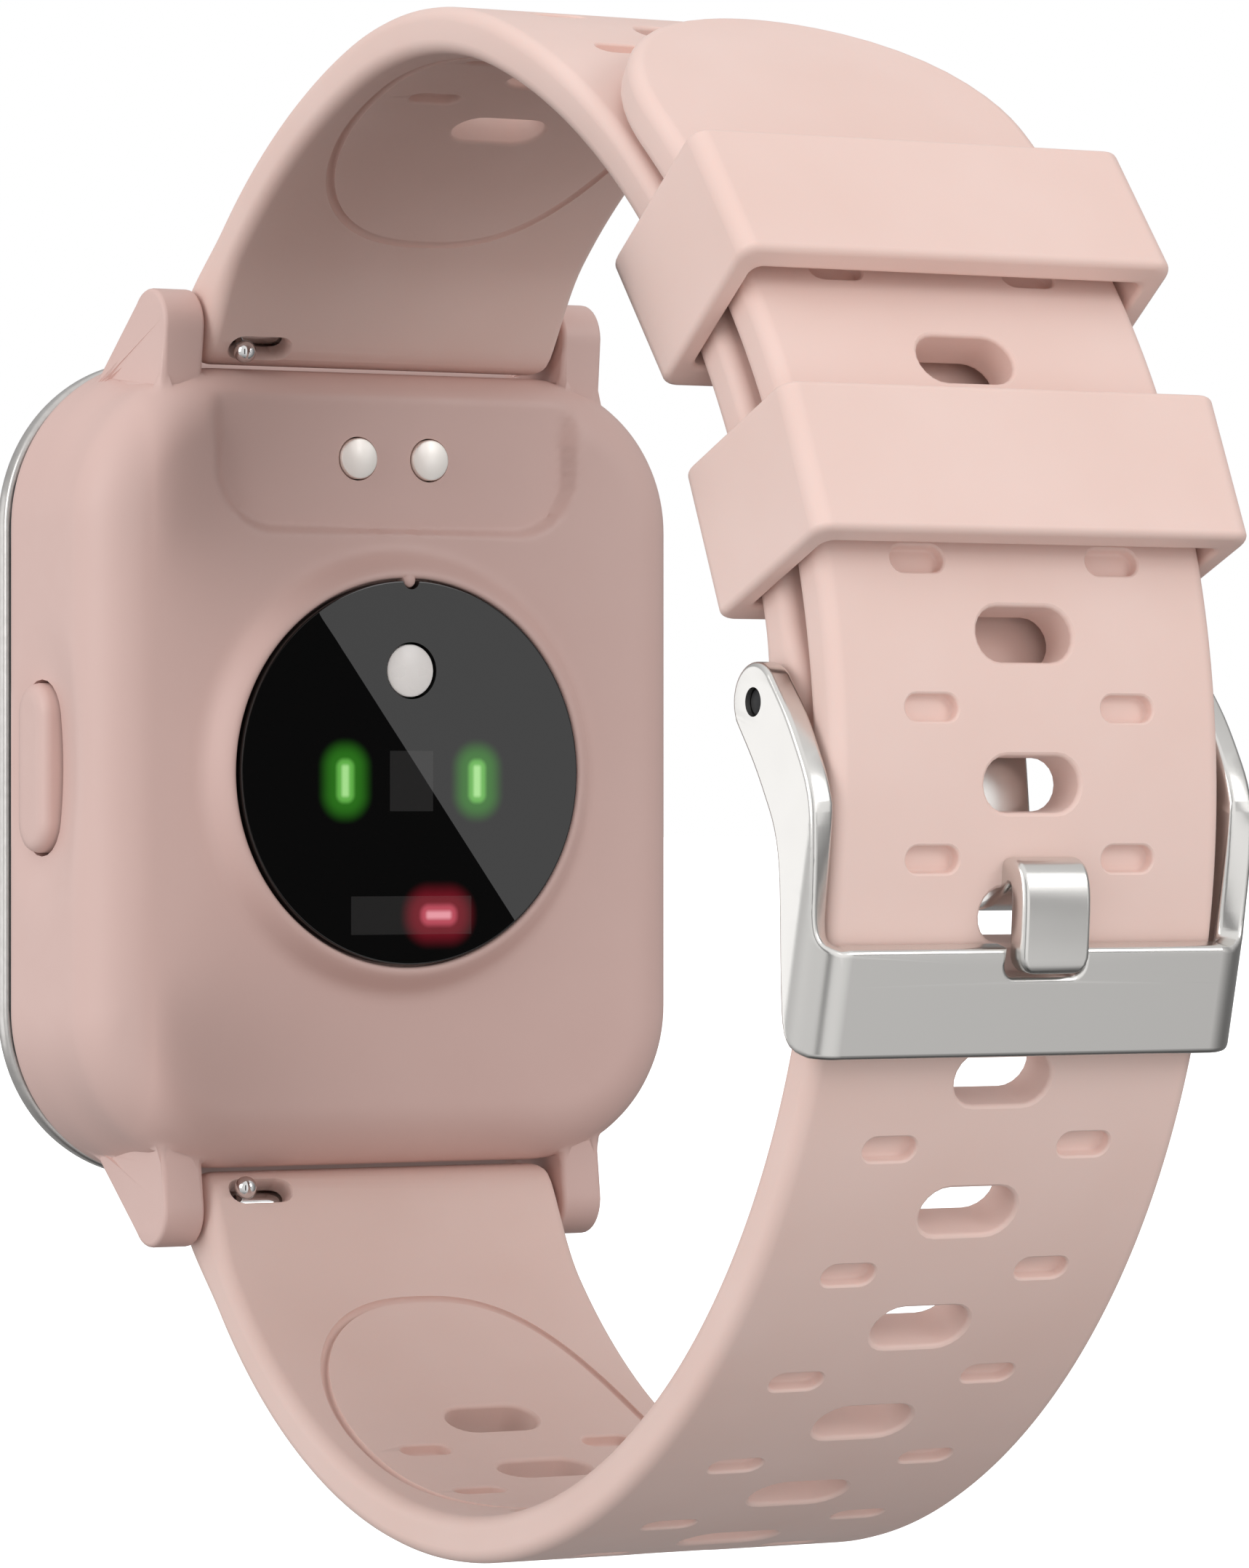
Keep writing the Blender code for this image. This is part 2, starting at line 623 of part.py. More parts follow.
def make_spring_bar(word, side, path, pivot):
    """Tube, fixed tip, sprung release pin with its ball knob, and coil spring, on one axis along X."""
    _, _, outward = along_path(path, 0)
    centre = Vector((0, BAR_Y, side * BAR_Z))
    inward = -outward

    def on_axis(x):
        return centre + Vector((x, 0, 0))

    tube = add_object(f"{word}_bar_tube", rod_mesh(on_axis(-TUBE_HALF), on_axis(TUBE_HALF), TUBE_RADIUS), "steel")
    bore = rod_mesh(on_axis(-TUBE_HALF - 0.001), on_axis(TUBE_HALF + 0.001), TUBE_BORE)
    carve(tube, add_object(f"{word}_tube_bore", bore))
    slot = block_mesh(KNOB_SLOT_X, (0, 0.002), (-0.0004, 0.0004))
    turn = Matrix((Vector((1, 0, 0)), inward, Vector((1, 0, 0)).cross(inward))).transposed().to_4x4()
    bmesh.ops.transform(slot, matrix=Matrix.Translation(centre) @ turn, verts=slot.verts)
    carve(tube, add_object(f"{word}_tube_slot", slot))

    tip = rod_mesh(on_axis(-TIP_REACH), on_axis(-0.0080), TIP_RADIUS, segments=12)
    fixed = add_object(f"{word}_fixed_tip", tip, "steel")
    pin = rod_mesh(on_axis(RELEASE_INNER_X), on_axis(TIP_REACH), TIP_RADIUS, segments=12)
    release = add_object(f"{word}_release_pin", pin, "chrome", on_axis(KNOB_X))
    stem = rod_mesh(on_axis(KNOB_X), on_axis(KNOB_X) + inward * KNOB_REACH, 0.00028, segments=10)
    carve(release, add_object(f"{word}_knob_stem", stem), "UNION")
    knob = ball_mesh(on_axis(KNOB_X) + inward * KNOB_REACH, KNOB_RADIUS)
    carve(release, add_object(f"{word}_knob", knob), "UNION")
    spring = make_spring(f"{word}_bar_spring", centre)
    for obj in (tube, fixed, release, spring):
        attach(obj, pivot)


def make_spring(name, centre, turns=6, radius=0.00036, wire=0.00009):
    """A small coil that pushes the release pin outwards."""
    curve = bpy.data.curves.new(name, "CURVE")
    curve.dimensions = "3D"
    curve.bevel_depth = wire
    curve.bevel_resolution = 1
    curve.use_fill_caps = True
    per_turn = 8
    spline = curve.splines.new("POLY")
    spline.points.add(turns * per_turn)
    for i, point in enumerate(spline.points):
        x = SPRING_X[0] + (SPRING_X[1] - SPRING_X[0]) * i / (turns * per_turn)
        angle = 2 * pi * i / per_turn
        point.co = (x, radius * cos(angle), radius * sin(angle), 1)
    spring = bpy.data.objects.new(name, curve)
    spring.location = centre
    curve.materials.append(COLOURS["steel"])
    bpy.data.collections[PARTS].objects.link(spring)
    return spring


def attach(obj, pivot):
    """Parents a piece to its pivot and leaves it where it is."""
    obj.parent = pivot
    obj.matrix_parent_inverse = Matrix.Translation(pivot.location).inverted()


def add_pivot(name, location):
    empty = bpy.data.objects.new(name, None)
    empty.empty_display_size = 0.005
    empty.location = location
    bpy.data.collections[PARTS].objects.link(empty)
    return empty


# --- Bands ---------------------------------------------------------------------------------------


def bar_cuts(path, side):
    """The bore for the spring bar and the slot for its knob."""
    centre = Vector((0, BAR_Y, side * BAR_Z))
    reach = Vector((0.02, 0, 0))
    bore = rod_mesh(centre - reach, centre + reach, BAR_BORE_RADIUS)
    middle = sum(KNOB_SLOT_X) / 2
    size = (KNOB_SLOT_X[1] - KNOB_SLOT_X[0], KNOB_SLOT_WIDTH)
    return bore, slot_mesh(path, 0, size, (-0.004, -0.0003), middle)


def row(first, pitch, count):
    return [first + pitch * i for i in range(count)]


def make_short_band(path, pivot):
    length = path[-1][0]
    half = BAND_THICKNESS / 2
    rings = root_rings(path)
    swell_from = length - 0.004
    for at, point, _, outward in path:
        if BAND_SWELL_LENGTH - 0.0008 < at < length - 0.0005:
            thick = half + (SHORT_END_RADIUS - half) * smooth((at - swell_from) / 0.0035)
            rings.append(section_ring(point, outward, BAND_WIDTH / 2, thick))
    for after, thick in [(0.0, SHORT_END_RADIUS)] + round_end(SHORT_END_RADIUS)[::-1]:
        point, _, outward = along_path(path, length + after)
        rings.append(section_ring(point, outward, BAND_WIDTH / 2, thick))
    band = add_object("short_band", loft_mesh(rings), "band_pink", (0, BAR_Y, BAR_Z))
    bore, knob_slot = bar_cuts(path, 1)
    carve(band, add_object("short_band_bore", bore))
    carve(band, add_object("short_band_knob_slot", knob_slot))
    holes = [slot_mesh(path, at, HOLE_SIZE, (-0.003, 0.003)) for at in row(*SHORT_HOLE_ROW)]
    carve(band, add_object("short_band_holes", merged(holes)))
    pin = (Vector((x, *pin_place())) for x in (-0.02, 0.02))
    carve(band, add_object("short_band_pin_bore", rod_mesh(*pin, PIN_BORE)))
    point, direction, outward = along_path(path, length)
    notch = block_mesh((-TONGUE_SLOT / 2, TONGUE_SLOT / 2), (-0.003, 0.003), (-0.0017, 0.004))
    turn = Matrix((Vector((1, 0, 0)), outward, direction)).transposed().to_4x4()
    bmesh.ops.transform(notch, matrix=Matrix.Translation(point) @ turn, verts=notch.verts)
    carve(band, add_object("short_band_tongue_notch", notch))
    attach(band, pivot)


def make_long_band(path, pivot):
    length = path[-1][0]
    half = BAND_THICKNESS / 2
    rings = root_rings(path)
    radius = BAND_WIDTH / 2
    for at, point, _, outward in path:
        if BAND_SWELL_LENGTH - 0.0008 < at < length - radius:
            rings.append(section_ring(point, outward, BAND_WIDTH / 2, half))
    for part in (0.0, 0.25, 0.5, 0.7, 0.85, 0.94, 0.985):
        point, _, outward = along_path(path, length - radius * (1 - part))
        rings.append(section_ring(point, outward, radius * sqrt(1 - part * part), half))
    band = add_object("long_band", loft_mesh(rings), "band_pink", (0, BAR_Y, -BAR_Z))
    bore, knob_slot = bar_cuts(path, -1)
    carve(band, add_object("long_band_bore", bore))
    carve(band, add_object("long_band_knob_slot", knob_slot))
    places = row(*LONG_CASE_ROW) + row(*LONG_MIDDLE_ROW) + [TONGUE_HOLE_AT] + row(*LONG_TIP_ROW)
    holes = [slot_mesh(path, at, HOLE_SIZE, (-0.003, 0.003)) for at in places]
    carve(band, add_object("long_band_holes", merged(holes)))
    attach(band, pivot)


# --- Buckle and keepers --------------------------------------------------------------------------


def arm_outline():
    """One side arm of the buckle, as (Y, Z) points from its round end at the pin to the crossbar's foot."""
    y, z = pin_place()
    end = [(y + ARM_END_RADIUS * cos(radians(a)), z + ARM_END_RADIUS * sin(radians(a))) for a in range(35, 216, 30)]
    wrist_side = [(0.0357, -0.0021), (0.0364, -0.0040), (0.0365, -0.0085), (0.0366, -0.0118)]
    foot = [(0.0371, -0.0131), (0.0380, -0.01385), BAR_BOTTOM_YZ, BAR_TOP_YZ]
    outer_side = [(0.0393, -0.0084), (0.0391, -0.0077), (0.0395, -0.0045), (0.0396, -0.0014), (0.0389, 0.0003)]
    return end + wrist_side + foot + outer_side


def crossbar_outline():
    top, bottom = Vector(BAR_TOP_YZ), Vector(BAR_BOTTOM_YZ)
    down = (bottom - top).normalized()
    inward = Vector((down.y, -down.x)) * CROSSBAR_THICKNESS
    return [tuple(point) for point in (top, bottom, bottom + inward, top + inward)]


def plan_envelope():
    """A block that rounds the corners between the arms and the crossbar."""
    reach = 0.03
    bm = block_mesh(
        (-BUCKLE_OUTER_X, BUCKLE_OUTER_X), (-reach, 0), (-reach, reach), BUCKLE_CORNER, 4, 2
    )
    top, bottom = Vector((0, *BAR_TOP_YZ)), Vector((0, *BAR_BOTTOM_YZ))
    up = (top - bottom).normalized()
    outward = up.cross(Vector((1, 0, 0)))
    turn = Matrix((Vector((1, 0, 0)), outward, up)).transposed().to_4x4()
    bmesh.ops.transform(bm, matrix=Matrix.Translation(top) @ turn, verts=bm.verts)
    return add_object("buckle_envelope", bm)


def make_buckle(pivot):
    pin_axis = [Vector((x, *pin_place())) for x in (-PIN_HALF, PIN_HALF)]
    add_object("buckle_pin", rod_mesh(*pin_axis, PIN_RADIUS), "steel", Vector((0, *pin_place())))
    origin = Vector((0, *pin_place()))
    arm = (BUCKLE_INNER_X, BUCKLE_OUTER_X)
    frame = plate("buckle_frame", arm_outline(), arm, "satin_steel", origin)
    other = plate("other_arm", arm_outline(), (-arm[1], -arm[0]))
    crossbar = plate("crossbar", crossbar_outline(), (-arm[1] + 0.0001, arm[1] - 0.0001))
    carve(frame, crossbar, "UNION")
    carve(frame, other, "UNION")
    carve(frame, plan_envelope(), "INTERSECT")
    holes = rod_mesh(Vector((-0.02, *pin_place())), Vector((0.02, *pin_place())), PIN_RADIUS + 0.0001)
    carve(frame, add_object("buckle_pin_holes", holes))
    top = BAR_TOP_YZ[1]
    notch = block_mesh(
        (-NOTCH_WIDTH / 2, NOTCH_WIDTH / 2), (0.034, 0.044), (top - NOTCH_DEPTH, top + 0.002), 0.0006, 2, 1
    )
    carve(frame, add_object("crossbar_notch", notch))
    attach(frame, pivot)
    tongue = make_tongue(origin)
    attach(tongue, pivot)


def tongue_line():
    """The tongue's middle line: down behind the long band, out through its hole and over the crossbar."""
    return [
        pin_place(),
        (0.03465, 0.00060),
        (0.03495, -0.00200),
        (0.03515, -0.00420),
        (0.03550, -0.00560),
        (0.03620, -0.00635),
        (0.03720, -0.00660),
        (0.03840, -0.00672),
        (0.03930, -0.00670),
        (0.03990, -0.00705),
        (0.04010, -0.00790),
        (0.04000, -0.00900),
        (0.03985, -0.00995),
    ]


def make_tongue(origin):
    line = [Vector((0, y, z)) for y, z in tongue_line()]
    rings = []
    for i, point in enumerate(line):
        run = line[min(i + 1, len(line) - 1)] - line[max(i - 1, 0)]
        across = Vector((0, run.z, -run.y)).normalized()
        rings.append(section_ring(point, across, TONGUE_WIDTH / 2, TONGUE_THICKNESS / 2, 0.0003))
    tongue = add_object("buckle_tongue", loft_mesh(rings), "satin_steel", origin)
    half = Vector((TONGUE_WIDTH / 2 - 0.0001, 0, 0))
    carve(tongue, add_object("tongue_eye", rod_mesh(origin - half, origin + half, 0.0014)), "UNION")
    reach = Vector((0.003, 0, 0))
    carve(tongue, add_object("tongue_eye_hole", rod_mesh(origin - reach, origin + reach, PIN_BORE)))
    return tongue


def make_keeper(name, angle, along, inner, outer):
    """A rubber loop: a rounded box with a rounded hole, turned to stand square on the bands."""
    half_width = KEEPER_WIDTH / 2
    side_wall, face_wall = KEEPER_WALL
    box = block_mesh(
        (-half_width, half_width),
        (inner, outer),
        (along - KEEPER_HEIGHT / 2, along + KEEPER_HEIGHT / 2),
        KEEPER_CORNER,
        3,
        2,
    )
    hole = block_mesh(
        (side_wall - half_width, half_width - side_wall),
        (inner + face_wall, outer - face_wall),
        (along - KEEPER_HEIGHT, along + KEEPER_HEIGHT),
        KEEPER_CORNER * 0.5,
        2,
        2,
    )
    turn = Matrix.Rotation(radians(angle), 4, "X")
    for bm in (box, hole):
        bmesh.ops.transform(bm, matrix=turn, verts=bm.verts)
    keeper = add_object(name, box, "band_pink")
    carve(keeper, add_object(name + "_hole", hole))


def make_all():
    make_rear_cover()
    make_front()
    make_insides()
    make_sensor()
    make_button()
    short_path = band_path(1, SHORT_HEADING, SHORT_ARCS)
    long_path = band_path(-1, LONG_HEADING, LONG_ARCS)
    upper = add_pivot("upper_bar_pivot", (0, BAR_Y, BAR_Z))
    lower = add_pivot("lower_bar_pivot", (0, BAR_Y, -BAR_Z))
    buckle = add_pivot("buckle_pivot", (0, *pin_place()))
    make_spring_bar("upper", 1, short_path, upper)
    make_spring_bar("lower", -1, long_path, lower)
    make_short_band(short_path, upper)
    make_long_band(long_path, lower)
    make_buckle(buckle)
    make_keeper("upper_keeper", **UPPER_KEEPER)
    make_keeper("lower_keeper", **LOWER_KEEPER)


clear_scene()
add_collection(PARTS)
add_collection(CUTTERS).hide_render = True
COLOURS = {
    "cover_pink": add_material("cover_plastic", "C9ABA4", 0.50),
    "band_pink": add_material("band_silicone", "EBCDC4", 0.60),
    "silver": add_material("silver_paint", "C8C6C4", 0.30, 0.9),
    "steel": add_material("steel", "BEBCBA", 0.35, 1.0),
    "satin_steel": add_material("satin_steel", "B5B1AE", 0.32, 1.0),
    "chrome": add_material("chrome", "D0D0D0", 0.08, 1.0),
    "glass": add_material("black_glass", "0A0A0A", 0.08),
    "display": add_material("display", "151515", 0.30),
    "black": add_material("black_rubber", "1C1C1C", 0.70),
    "grey_plastic": add_material("grey_plastic", "6A6A6C", 0.50),
    "board_green": add_material("board_green", "1F4A35", 0.50),
    "lamp_green": add_material("lamp_green", "8CF07E", 0.40),
    "lamp_red": add_material("lamp_red", "7A2028", 0.40),
    "ceramic_white": add_material("ceramic_white", "EDEBE8", 0.35),
}
make_all()
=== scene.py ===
# %% [markdown]
# # A fitness tracker on its silicone band
# The frame below holds the working design: every solid, its place and its joints. This lesson makes the
# looks: fine meshes for each visible piece, a finish for each material, a pale studio and a camera. Lengths
# are in metres. +X is the button's side, +Z is twelve o'clock, +Y points from the case to the buckle.

# %% Load the frame
from math import acos, copysign, cos, hypot, pi, radians, sin, sqrt

import bmesh
import bpy
from mathutils import Matrix, Vector


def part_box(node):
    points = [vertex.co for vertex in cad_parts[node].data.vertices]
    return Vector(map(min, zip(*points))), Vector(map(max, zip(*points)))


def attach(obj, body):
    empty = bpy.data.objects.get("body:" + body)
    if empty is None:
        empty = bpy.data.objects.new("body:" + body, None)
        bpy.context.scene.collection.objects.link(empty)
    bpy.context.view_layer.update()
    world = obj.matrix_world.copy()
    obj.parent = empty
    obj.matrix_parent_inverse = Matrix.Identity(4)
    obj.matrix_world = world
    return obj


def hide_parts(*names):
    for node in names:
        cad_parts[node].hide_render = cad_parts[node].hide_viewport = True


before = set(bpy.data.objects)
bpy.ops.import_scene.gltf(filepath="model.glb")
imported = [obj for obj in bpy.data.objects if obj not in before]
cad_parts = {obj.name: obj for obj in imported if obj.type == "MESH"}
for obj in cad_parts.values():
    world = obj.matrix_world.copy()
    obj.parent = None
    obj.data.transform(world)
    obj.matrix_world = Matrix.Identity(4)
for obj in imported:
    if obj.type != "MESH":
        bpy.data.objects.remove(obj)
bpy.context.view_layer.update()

MM = 0.001
X_AXIS, Y_AXIS = (1, 0, 0), (0, 1, 0)

# %% [markdown]
# ## Small helpers
# A mesh is drawn in place with bmesh, so each object stays at the origin. Faces turn outwards before the
# mesh is stored, and smooth shading with a sharp angle keeps real edges crisp.


# %% Objects from meshes and curves
def placed(name, data):
    """A new object at the origin that holds this mesh, curve, light or camera."""
    obj = bpy.data.objects.new(name, data)
    bpy.context.scene.collection.objects.link(obj)
    return obj


def opened(obj):
    """An object's mesh as a bmesh to work on. The object itself goes away."""
    bm = bmesh.new()
    bm.from_mesh(obj.data)
    bpy.data.objects.remove(obj, do_unlink=True)
    return bm


def store(name, bm, sharp=40, outward=True):
    """Makes an object from a drawn mesh, with its faces turned outwards."""
    bmesh.ops.remove_doubles(bm, verts=bm.verts, dist=1e-7)
    if outward:
        bmesh.ops.recalc_face_normals(bm, faces=bm.faces)
    mesh = bpy.data.meshes.new(name)
    bm.to_mesh(mesh)
    bm.free()
    mesh.shade_smooth()
    mesh.set_sharp_from_angle(angle=radians(sharp))
    return placed(name, mesh)


def line_of(name, points, cyclic=False, dimensions="3D"):
    """A curve object of straight stretches through the points."""
    curve = bpy.data.curves.new(name, "CURVE")
    curve.dimensions = dimensions
    spline = curve.splines.new("POLY")
    spline.points.add(len(points) - 1)
    for point, place in zip(spline.points, points):
        point.co = (*place, 1)
    spline.use_cyclic_u = cyclic
    return placed(name, curve)


def baked(obj, name=None):
    """Applies an object's modifiers and returns a plain mesh object that takes its place."""
    bpy.context.view_layer.update()
    evaluated = obj.evaluated_get(bpy.context.evaluated_depsgraph_get())
    mesh = bpy.data.meshes.new_from_object(evaluated, depsgraph=bpy.context.evaluated_depsgraph_get())
    name = name or obj.name
    bpy.data.objects.remove(obj, do_unlink=True)
    mesh.name = name
    return placed(name, mesh)


def with_tool(obj, tool, operation="DIFFERENCE"):
    """Cuts, joins or keeps a shape with a tool shape, and removes the tool."""
    modifier = obj.modifiers.new(operation.lower(), "BOOLEAN")
    modifier.operation = operation
    modifier.solver = "EXACT"
    modifier.object = tool
    result = baked(obj)
    bpy.data.objects.remove(tool, do_unlink=True)
    return result


def shaded(obj, sharp=40):
    """Smooth shading that trusts the big faces, so bevels round off and flats stay flat."""
    obj.data.shade_smooth()
    obj.data.set_sharp_from_angle(angle=radians(sharp))
    modifier = obj.modifiers.new("weighted normals", "WEIGHTED_NORMAL")
    modifier.keep_sharp = True
    return baked(obj)


def joined(name, objects):
    """Several meshes as one object."""
    bm = bmesh.new()
    for obj in objects:
        bm.from_mesh(obj.data)
        bpy.data.objects.remove(obj, do_unlink=True)
    mesh = bpy.data.meshes.new(name)
    bm.to_mesh(mesh)
    bm.free()
    return placed(name, mesh)


def ring_mesh(rings, closed=False):
    """A skin over rings of equal length, capped at both ends or closed into a loop of rings."""
    bm = bmesh.new()
    rows = [[bm.verts.new(point) for point in ring] for ring in rings]
    pairs = list(zip(rows, rows[1:])) + ([(rows[-1], rows[0])] if closed else [])
    for low, high in pairs:
        for i in range(len(low)):
            j = (i + 1) % len(low)
            bm.faces.new((low[i], low[j], high[j], high[i]))
    if not closed:
        bm.faces.new(rows[0])
        bm.faces.new(rows[-1])
    return bm


def turned(name, profile, centre, axis, segments=48, sharp=40):
    """A turned piece: (distance along the axis, radius) points, spun about the axis."""
    axis = Vector(axis).normalized()
    side = axis.orthogonal().normalized()
    other = axis.cross(side)
    centre = Vector(centre)
    rings = []
    for along, radius in profile:
        spokes = [2 * pi * k / segments for k in range(segments)]
        ring = [centre + axis * along + (side * cos(a) + other * sin(a)) * max(radius, 1e-7) for a in spokes]
        rings.append(ring)
    return store(name, ring_mesh(rings), sharp)


def drill(name, reach, radius, centre, axis, segments=48):
    """A cylinder that reaches equally far to both sides of its middle."""
    return turned(name, [(-reach, radius), (reach, radius)], centre, axis, segments)


def arc(centre, radius, start, end, steps):
    """Points of an arc in a plane, with both ends, from angles in degrees."""
    turns = [radians(start + (end - start) * k / steps) for k in range(steps + 1)]
    return [(centre[0] + radius * cos(t), centre[1] + radius * sin(t)) for t in turns]


def smooth_step(t):
    """0 up to t = 0, 1 from t = 1, and an even S between them."""
    t = min(max(t, 0.0), 1.0)
    return t * t * (3 - 2 * t)


print("helpers ready")

# %% [markdown]
# ## Finishes
# One function turns sRGB hex into linear colour, and one adds a node with its settings and links. Every
# finish is a small node tree on Object coordinates, so its grain keeps its real size in millimetres.


# %% Material helpers
def linear(hex_colour):
    """An sRGB hex colour as the linear colour that sockets take."""
    channels = [int(hex_colour[i : i + 2], 16) / 255 for i in (0, 2, 4)]
    return (*[c / 12.92 if c <= 0.04045 else ((c + 0.055) / 1.055) ** 2.4 for c in channels], 1.0)


def add(tree, kind, settings=None, **inputs):
    """Adds a node with its settings. Inputs go by name or by _number, and are values or feeding sockets."""
    node = tree.nodes.new(kind)
    for key, value in (settings or {}).items():
        setattr(node, key, value)
    for key, value in inputs.items():
        label = int(key[1:]) if key[1:].isdigit() else key.replace("_", " ")
        socket = node.inputs[label]
        if isinstance(value, bpy.types.NodeSocket):
            tree.links.new(value, socket)
        else:
            socket.default_value = value
    return node


def finish(name, base, roughness, **inputs):
    """A Principled material: returns it with its tree, its shader and the object's coordinates."""
    material = bpy.data.materials.new(name)
    material.use_nodes = True
    tree = material.node_tree
    shader = tree.nodes["Principled BSDF"]
    shader.inputs["Base Color"].default_value = linear(base)
    shader.inputs["Roughness"].default_value = roughness
    for key, value in inputs.items():
        shader.inputs[key.replace("_", " ")].default_value = value
    material.diffuse_color = linear(base)
    place = add(tree, "ShaderNodeTexCoord").outputs["Object"]
    return material, tree, shader, place


def grain(tree, shader, place, size, strength, detail=3.0):
    """A fine moulded or blasted texture of one grain size, as bump only."""
    noise = add(tree, "ShaderNodeTexNoise", Vector=place, Scale=1 / size, Detail=detail, Roughness=0.6)
    bump = add(tree, "ShaderNodeBump", Height=noise.outputs["Fac"], Strength=strength, Distance=0.1 * size)
    tree.links.new(bump.outputs["Normal"], shader.inputs["Normal"])
    return noise


def mottle(tree, shader, place, size, low, high, target="Base Color"):
    """A slow change between two colours, or two values, over a larger distance."""
    noise = add(tree, "ShaderNodeTexNoise", Vector=place, Scale=1 / size, Detail=2.0)
    ramp = add(tree, "ShaderNodeValToRGB", Fac=noise.outputs["Fac"])
    for element, value in zip(ramp.color_ramp.elements, (low, high)):
        element.color = linear(value) if isinstance(value, str) else (value, value, value, 1)
    ramp.color_ramp.elements[0].position = 0.3
    ramp.color_ramp.elements[1].position = 0.7
    tree.links.new(ramp.outputs["Color"], shader.inputs[target])


# %% [markdown]
# The band is moulded liquid silicone rubber: soft, matte and slightly translucent, with the fine bloom that
# a blasted mould leaves. The case is moulded ABS with a satin soft-touch coat in a slightly darker pink.


# %% Silicone and moulded plastic
def silicone():
    material, tree, shader, place = finish("moulded_silicone", "EBCDC4", 0.56, IOR=1.41)
    shader.inputs["Subsurface Weight"].default_value = 0.08
    shader.inputs["Subsurface Radius"].default_value = (1.0, 0.45, 0.35)
    shader.inputs["Subsurface Scale"].default_value = 0.6 * MM
    shader.inputs["Sheen Weight"].default_value = 0.10
    shader.inputs["Sheen Roughness"].default_value = 0.5
    mottle(tree, shader, place, 9 * MM, "EACBC1", "EDD0C7")
    mottle(tree, shader, place, 1.3 * MM, 0.52, 0.60, "Roughness")
    grain(tree, shader, place, 0.16 * MM, 0.16)
    return material


def coated_abs(name, low, high):
    material, tree, shader, place = finish(name, low, 0.46, IOR=1.50)
    mottle(tree, shader, place, 11 * MM, low, high)
    mottle(tree, shader, place, 1.1 * MM, 0.43, 0.50, "Roughness")
    grain(tree, shader, place, 0.12 * MM, 0.10)
    return material


SILICONE = silicone()
CASE_PINK = coated_abs("soft_coated_abs", "DAB9B1", "DDBDB5")
BUTTON_PINK = coated_abs("button_coated_abs", "D9B8B0", "DBBBB3")
print("silicone and coated ABS ready")

# %% [markdown]
# The buckle is stainless steel with a bead-blasted, satin-polished skin: bright, softly blurred
# reflections. The contacts, bars and release knobs are polished. The rim round the glass is silver paint
# over plastic.


# %% Metals
def blasted_steel():
    material, tree, shader, place = finish("satin_blasted_steel", "DFDDDA", 0.25, Metallic=1.0)
    mottle(tree, shader, place, 2.5 * MM, 0.24, 0.26, "Roughness")
    grain(tree, shader, place, 0.22 * MM, 0.004)
    return material


def polished_steel(name, base, roughness):
    material, tree, shader, place = finish(name, base, roughness, Metallic=1.0)
    mottle(tree, shader, place, 1.5 * MM, roughness * 0.8, roughness * 1.3, "Roughness")
    grain(tree, shader, place, 0.08 * MM, 0.02)
    return material


def silver_paint():
    material, tree, shader, place = finish("metallic_silver_paint", "C9C6C3", 0.30, Metallic=0.85)
    shader.inputs["Coat Weight"].default_value = 0.35
    shader.inputs["Coat Roughness"].default_value = 0.12
    mottle(tree, shader, place, 0.5 * MM, "C4C1BE", "CFCCC9")
    grain(tree, shader, place, 0.05 * MM, 0.04)
    return material


STEEL = blasted_steel()
BRIGHT = polished_steel("polished_bar_steel", "DAD9D8", 0.08)
CONTACT = polished_steel("plated_contact", "FAF6F1", 0.45)
SPRING = polished_steel("drawn_spring_wire", "B9B7B4", 0.28)
# The buckle pin is near black: this is painted shade for the dark notch behind the tongue, the only place
# where the pin shows. The real pin is bright steel.
PIN_PAINTED_SHADE, tree, shader, place = finish("blackened_pin_steel", "0B0B10", 0.55)
grain(tree, shader, place, 0.10 * MM, 0.05)
SILVER = silver_paint()
print("metals ready")

# %% [markdown]
# The sensor window is one disc of black-backed glass. Its lamps shine through gaps in the black print, so
# the finish holds soft-edged glows: each is worked out from its distance to a small rectangle, in real
# millimetres.


# %% Black glass with lamps behind it
WINDOW_Z = -0.25 * MM
LAMP_X = 4.1 * MM
LAMP_ROW_Z = -0.70 * MM
PULSE_X = -1.7 * MM
PULSE_ROW_Z = -8.0 * MM


def rectangle_distance(tree, place, centre, half):
    """How far a point on the window lies outside a rectangle of half sizes (X, Z)."""
    split = add(tree, "ShaderNodeSeparateXYZ", Vector=place)
    parts = []
    for axis, middle, reach in zip("XZ", centre, half):
        shifted = add(tree, "ShaderNodeMath", {"operation": "SUBTRACT"}, _0=split.outputs[axis], _1=middle)
        folded = add(tree, "ShaderNodeMath", {"operation": "ABSOLUTE"}, _0=shifted.outputs[0])
        beyond = add(tree, "ShaderNodeMath", {"operation": "SUBTRACT"}, _0=folded.outputs[0], _1=reach)
        parts.append(add(tree, "ShaderNodeMath", {"operation": "MAXIMUM"}, _0=beyond.outputs[0], _1=0.0))
    squares = [add(tree, "ShaderNodeMath", {"operation": "POWER"}, _0=p.outputs[0], _1=2.0) for p in parts]
    total = add(tree, "ShaderNodeMath", {"operation": "ADD"}, _0=squares[0].outputs[0],
                _1=squares[1].outputs[0])
    return add(tree, "ShaderNodeMath", {"operation": "SQRT"}, _0=total.outputs[0]).outputs[0]


def glow_colour(tree, distance, stops):
    """Colour by distance: stops are (millimetres, hex colour, strength)."""
    reach = stops[-1][0] * MM
    share = add(tree, "ShaderNodeMath", {"operation": "DIVIDE"}, _0=distance, _1=reach)
    ramp = add(tree, "ShaderNodeValToRGB", Fac=share.outputs[0])
    ramp.color_ramp.interpolation = "EASE"
    elements = ramp.color_ramp.elements
    while len(elements) < len(stops):
        elements.new(0.5)
    for element, (at, colour, strength) in zip(elements, stops):
        element.position = at * MM / reach
        element.color = (*[c * strength for c in linear(colour)[:3]], 1)
    return ramp.outputs["Color"]


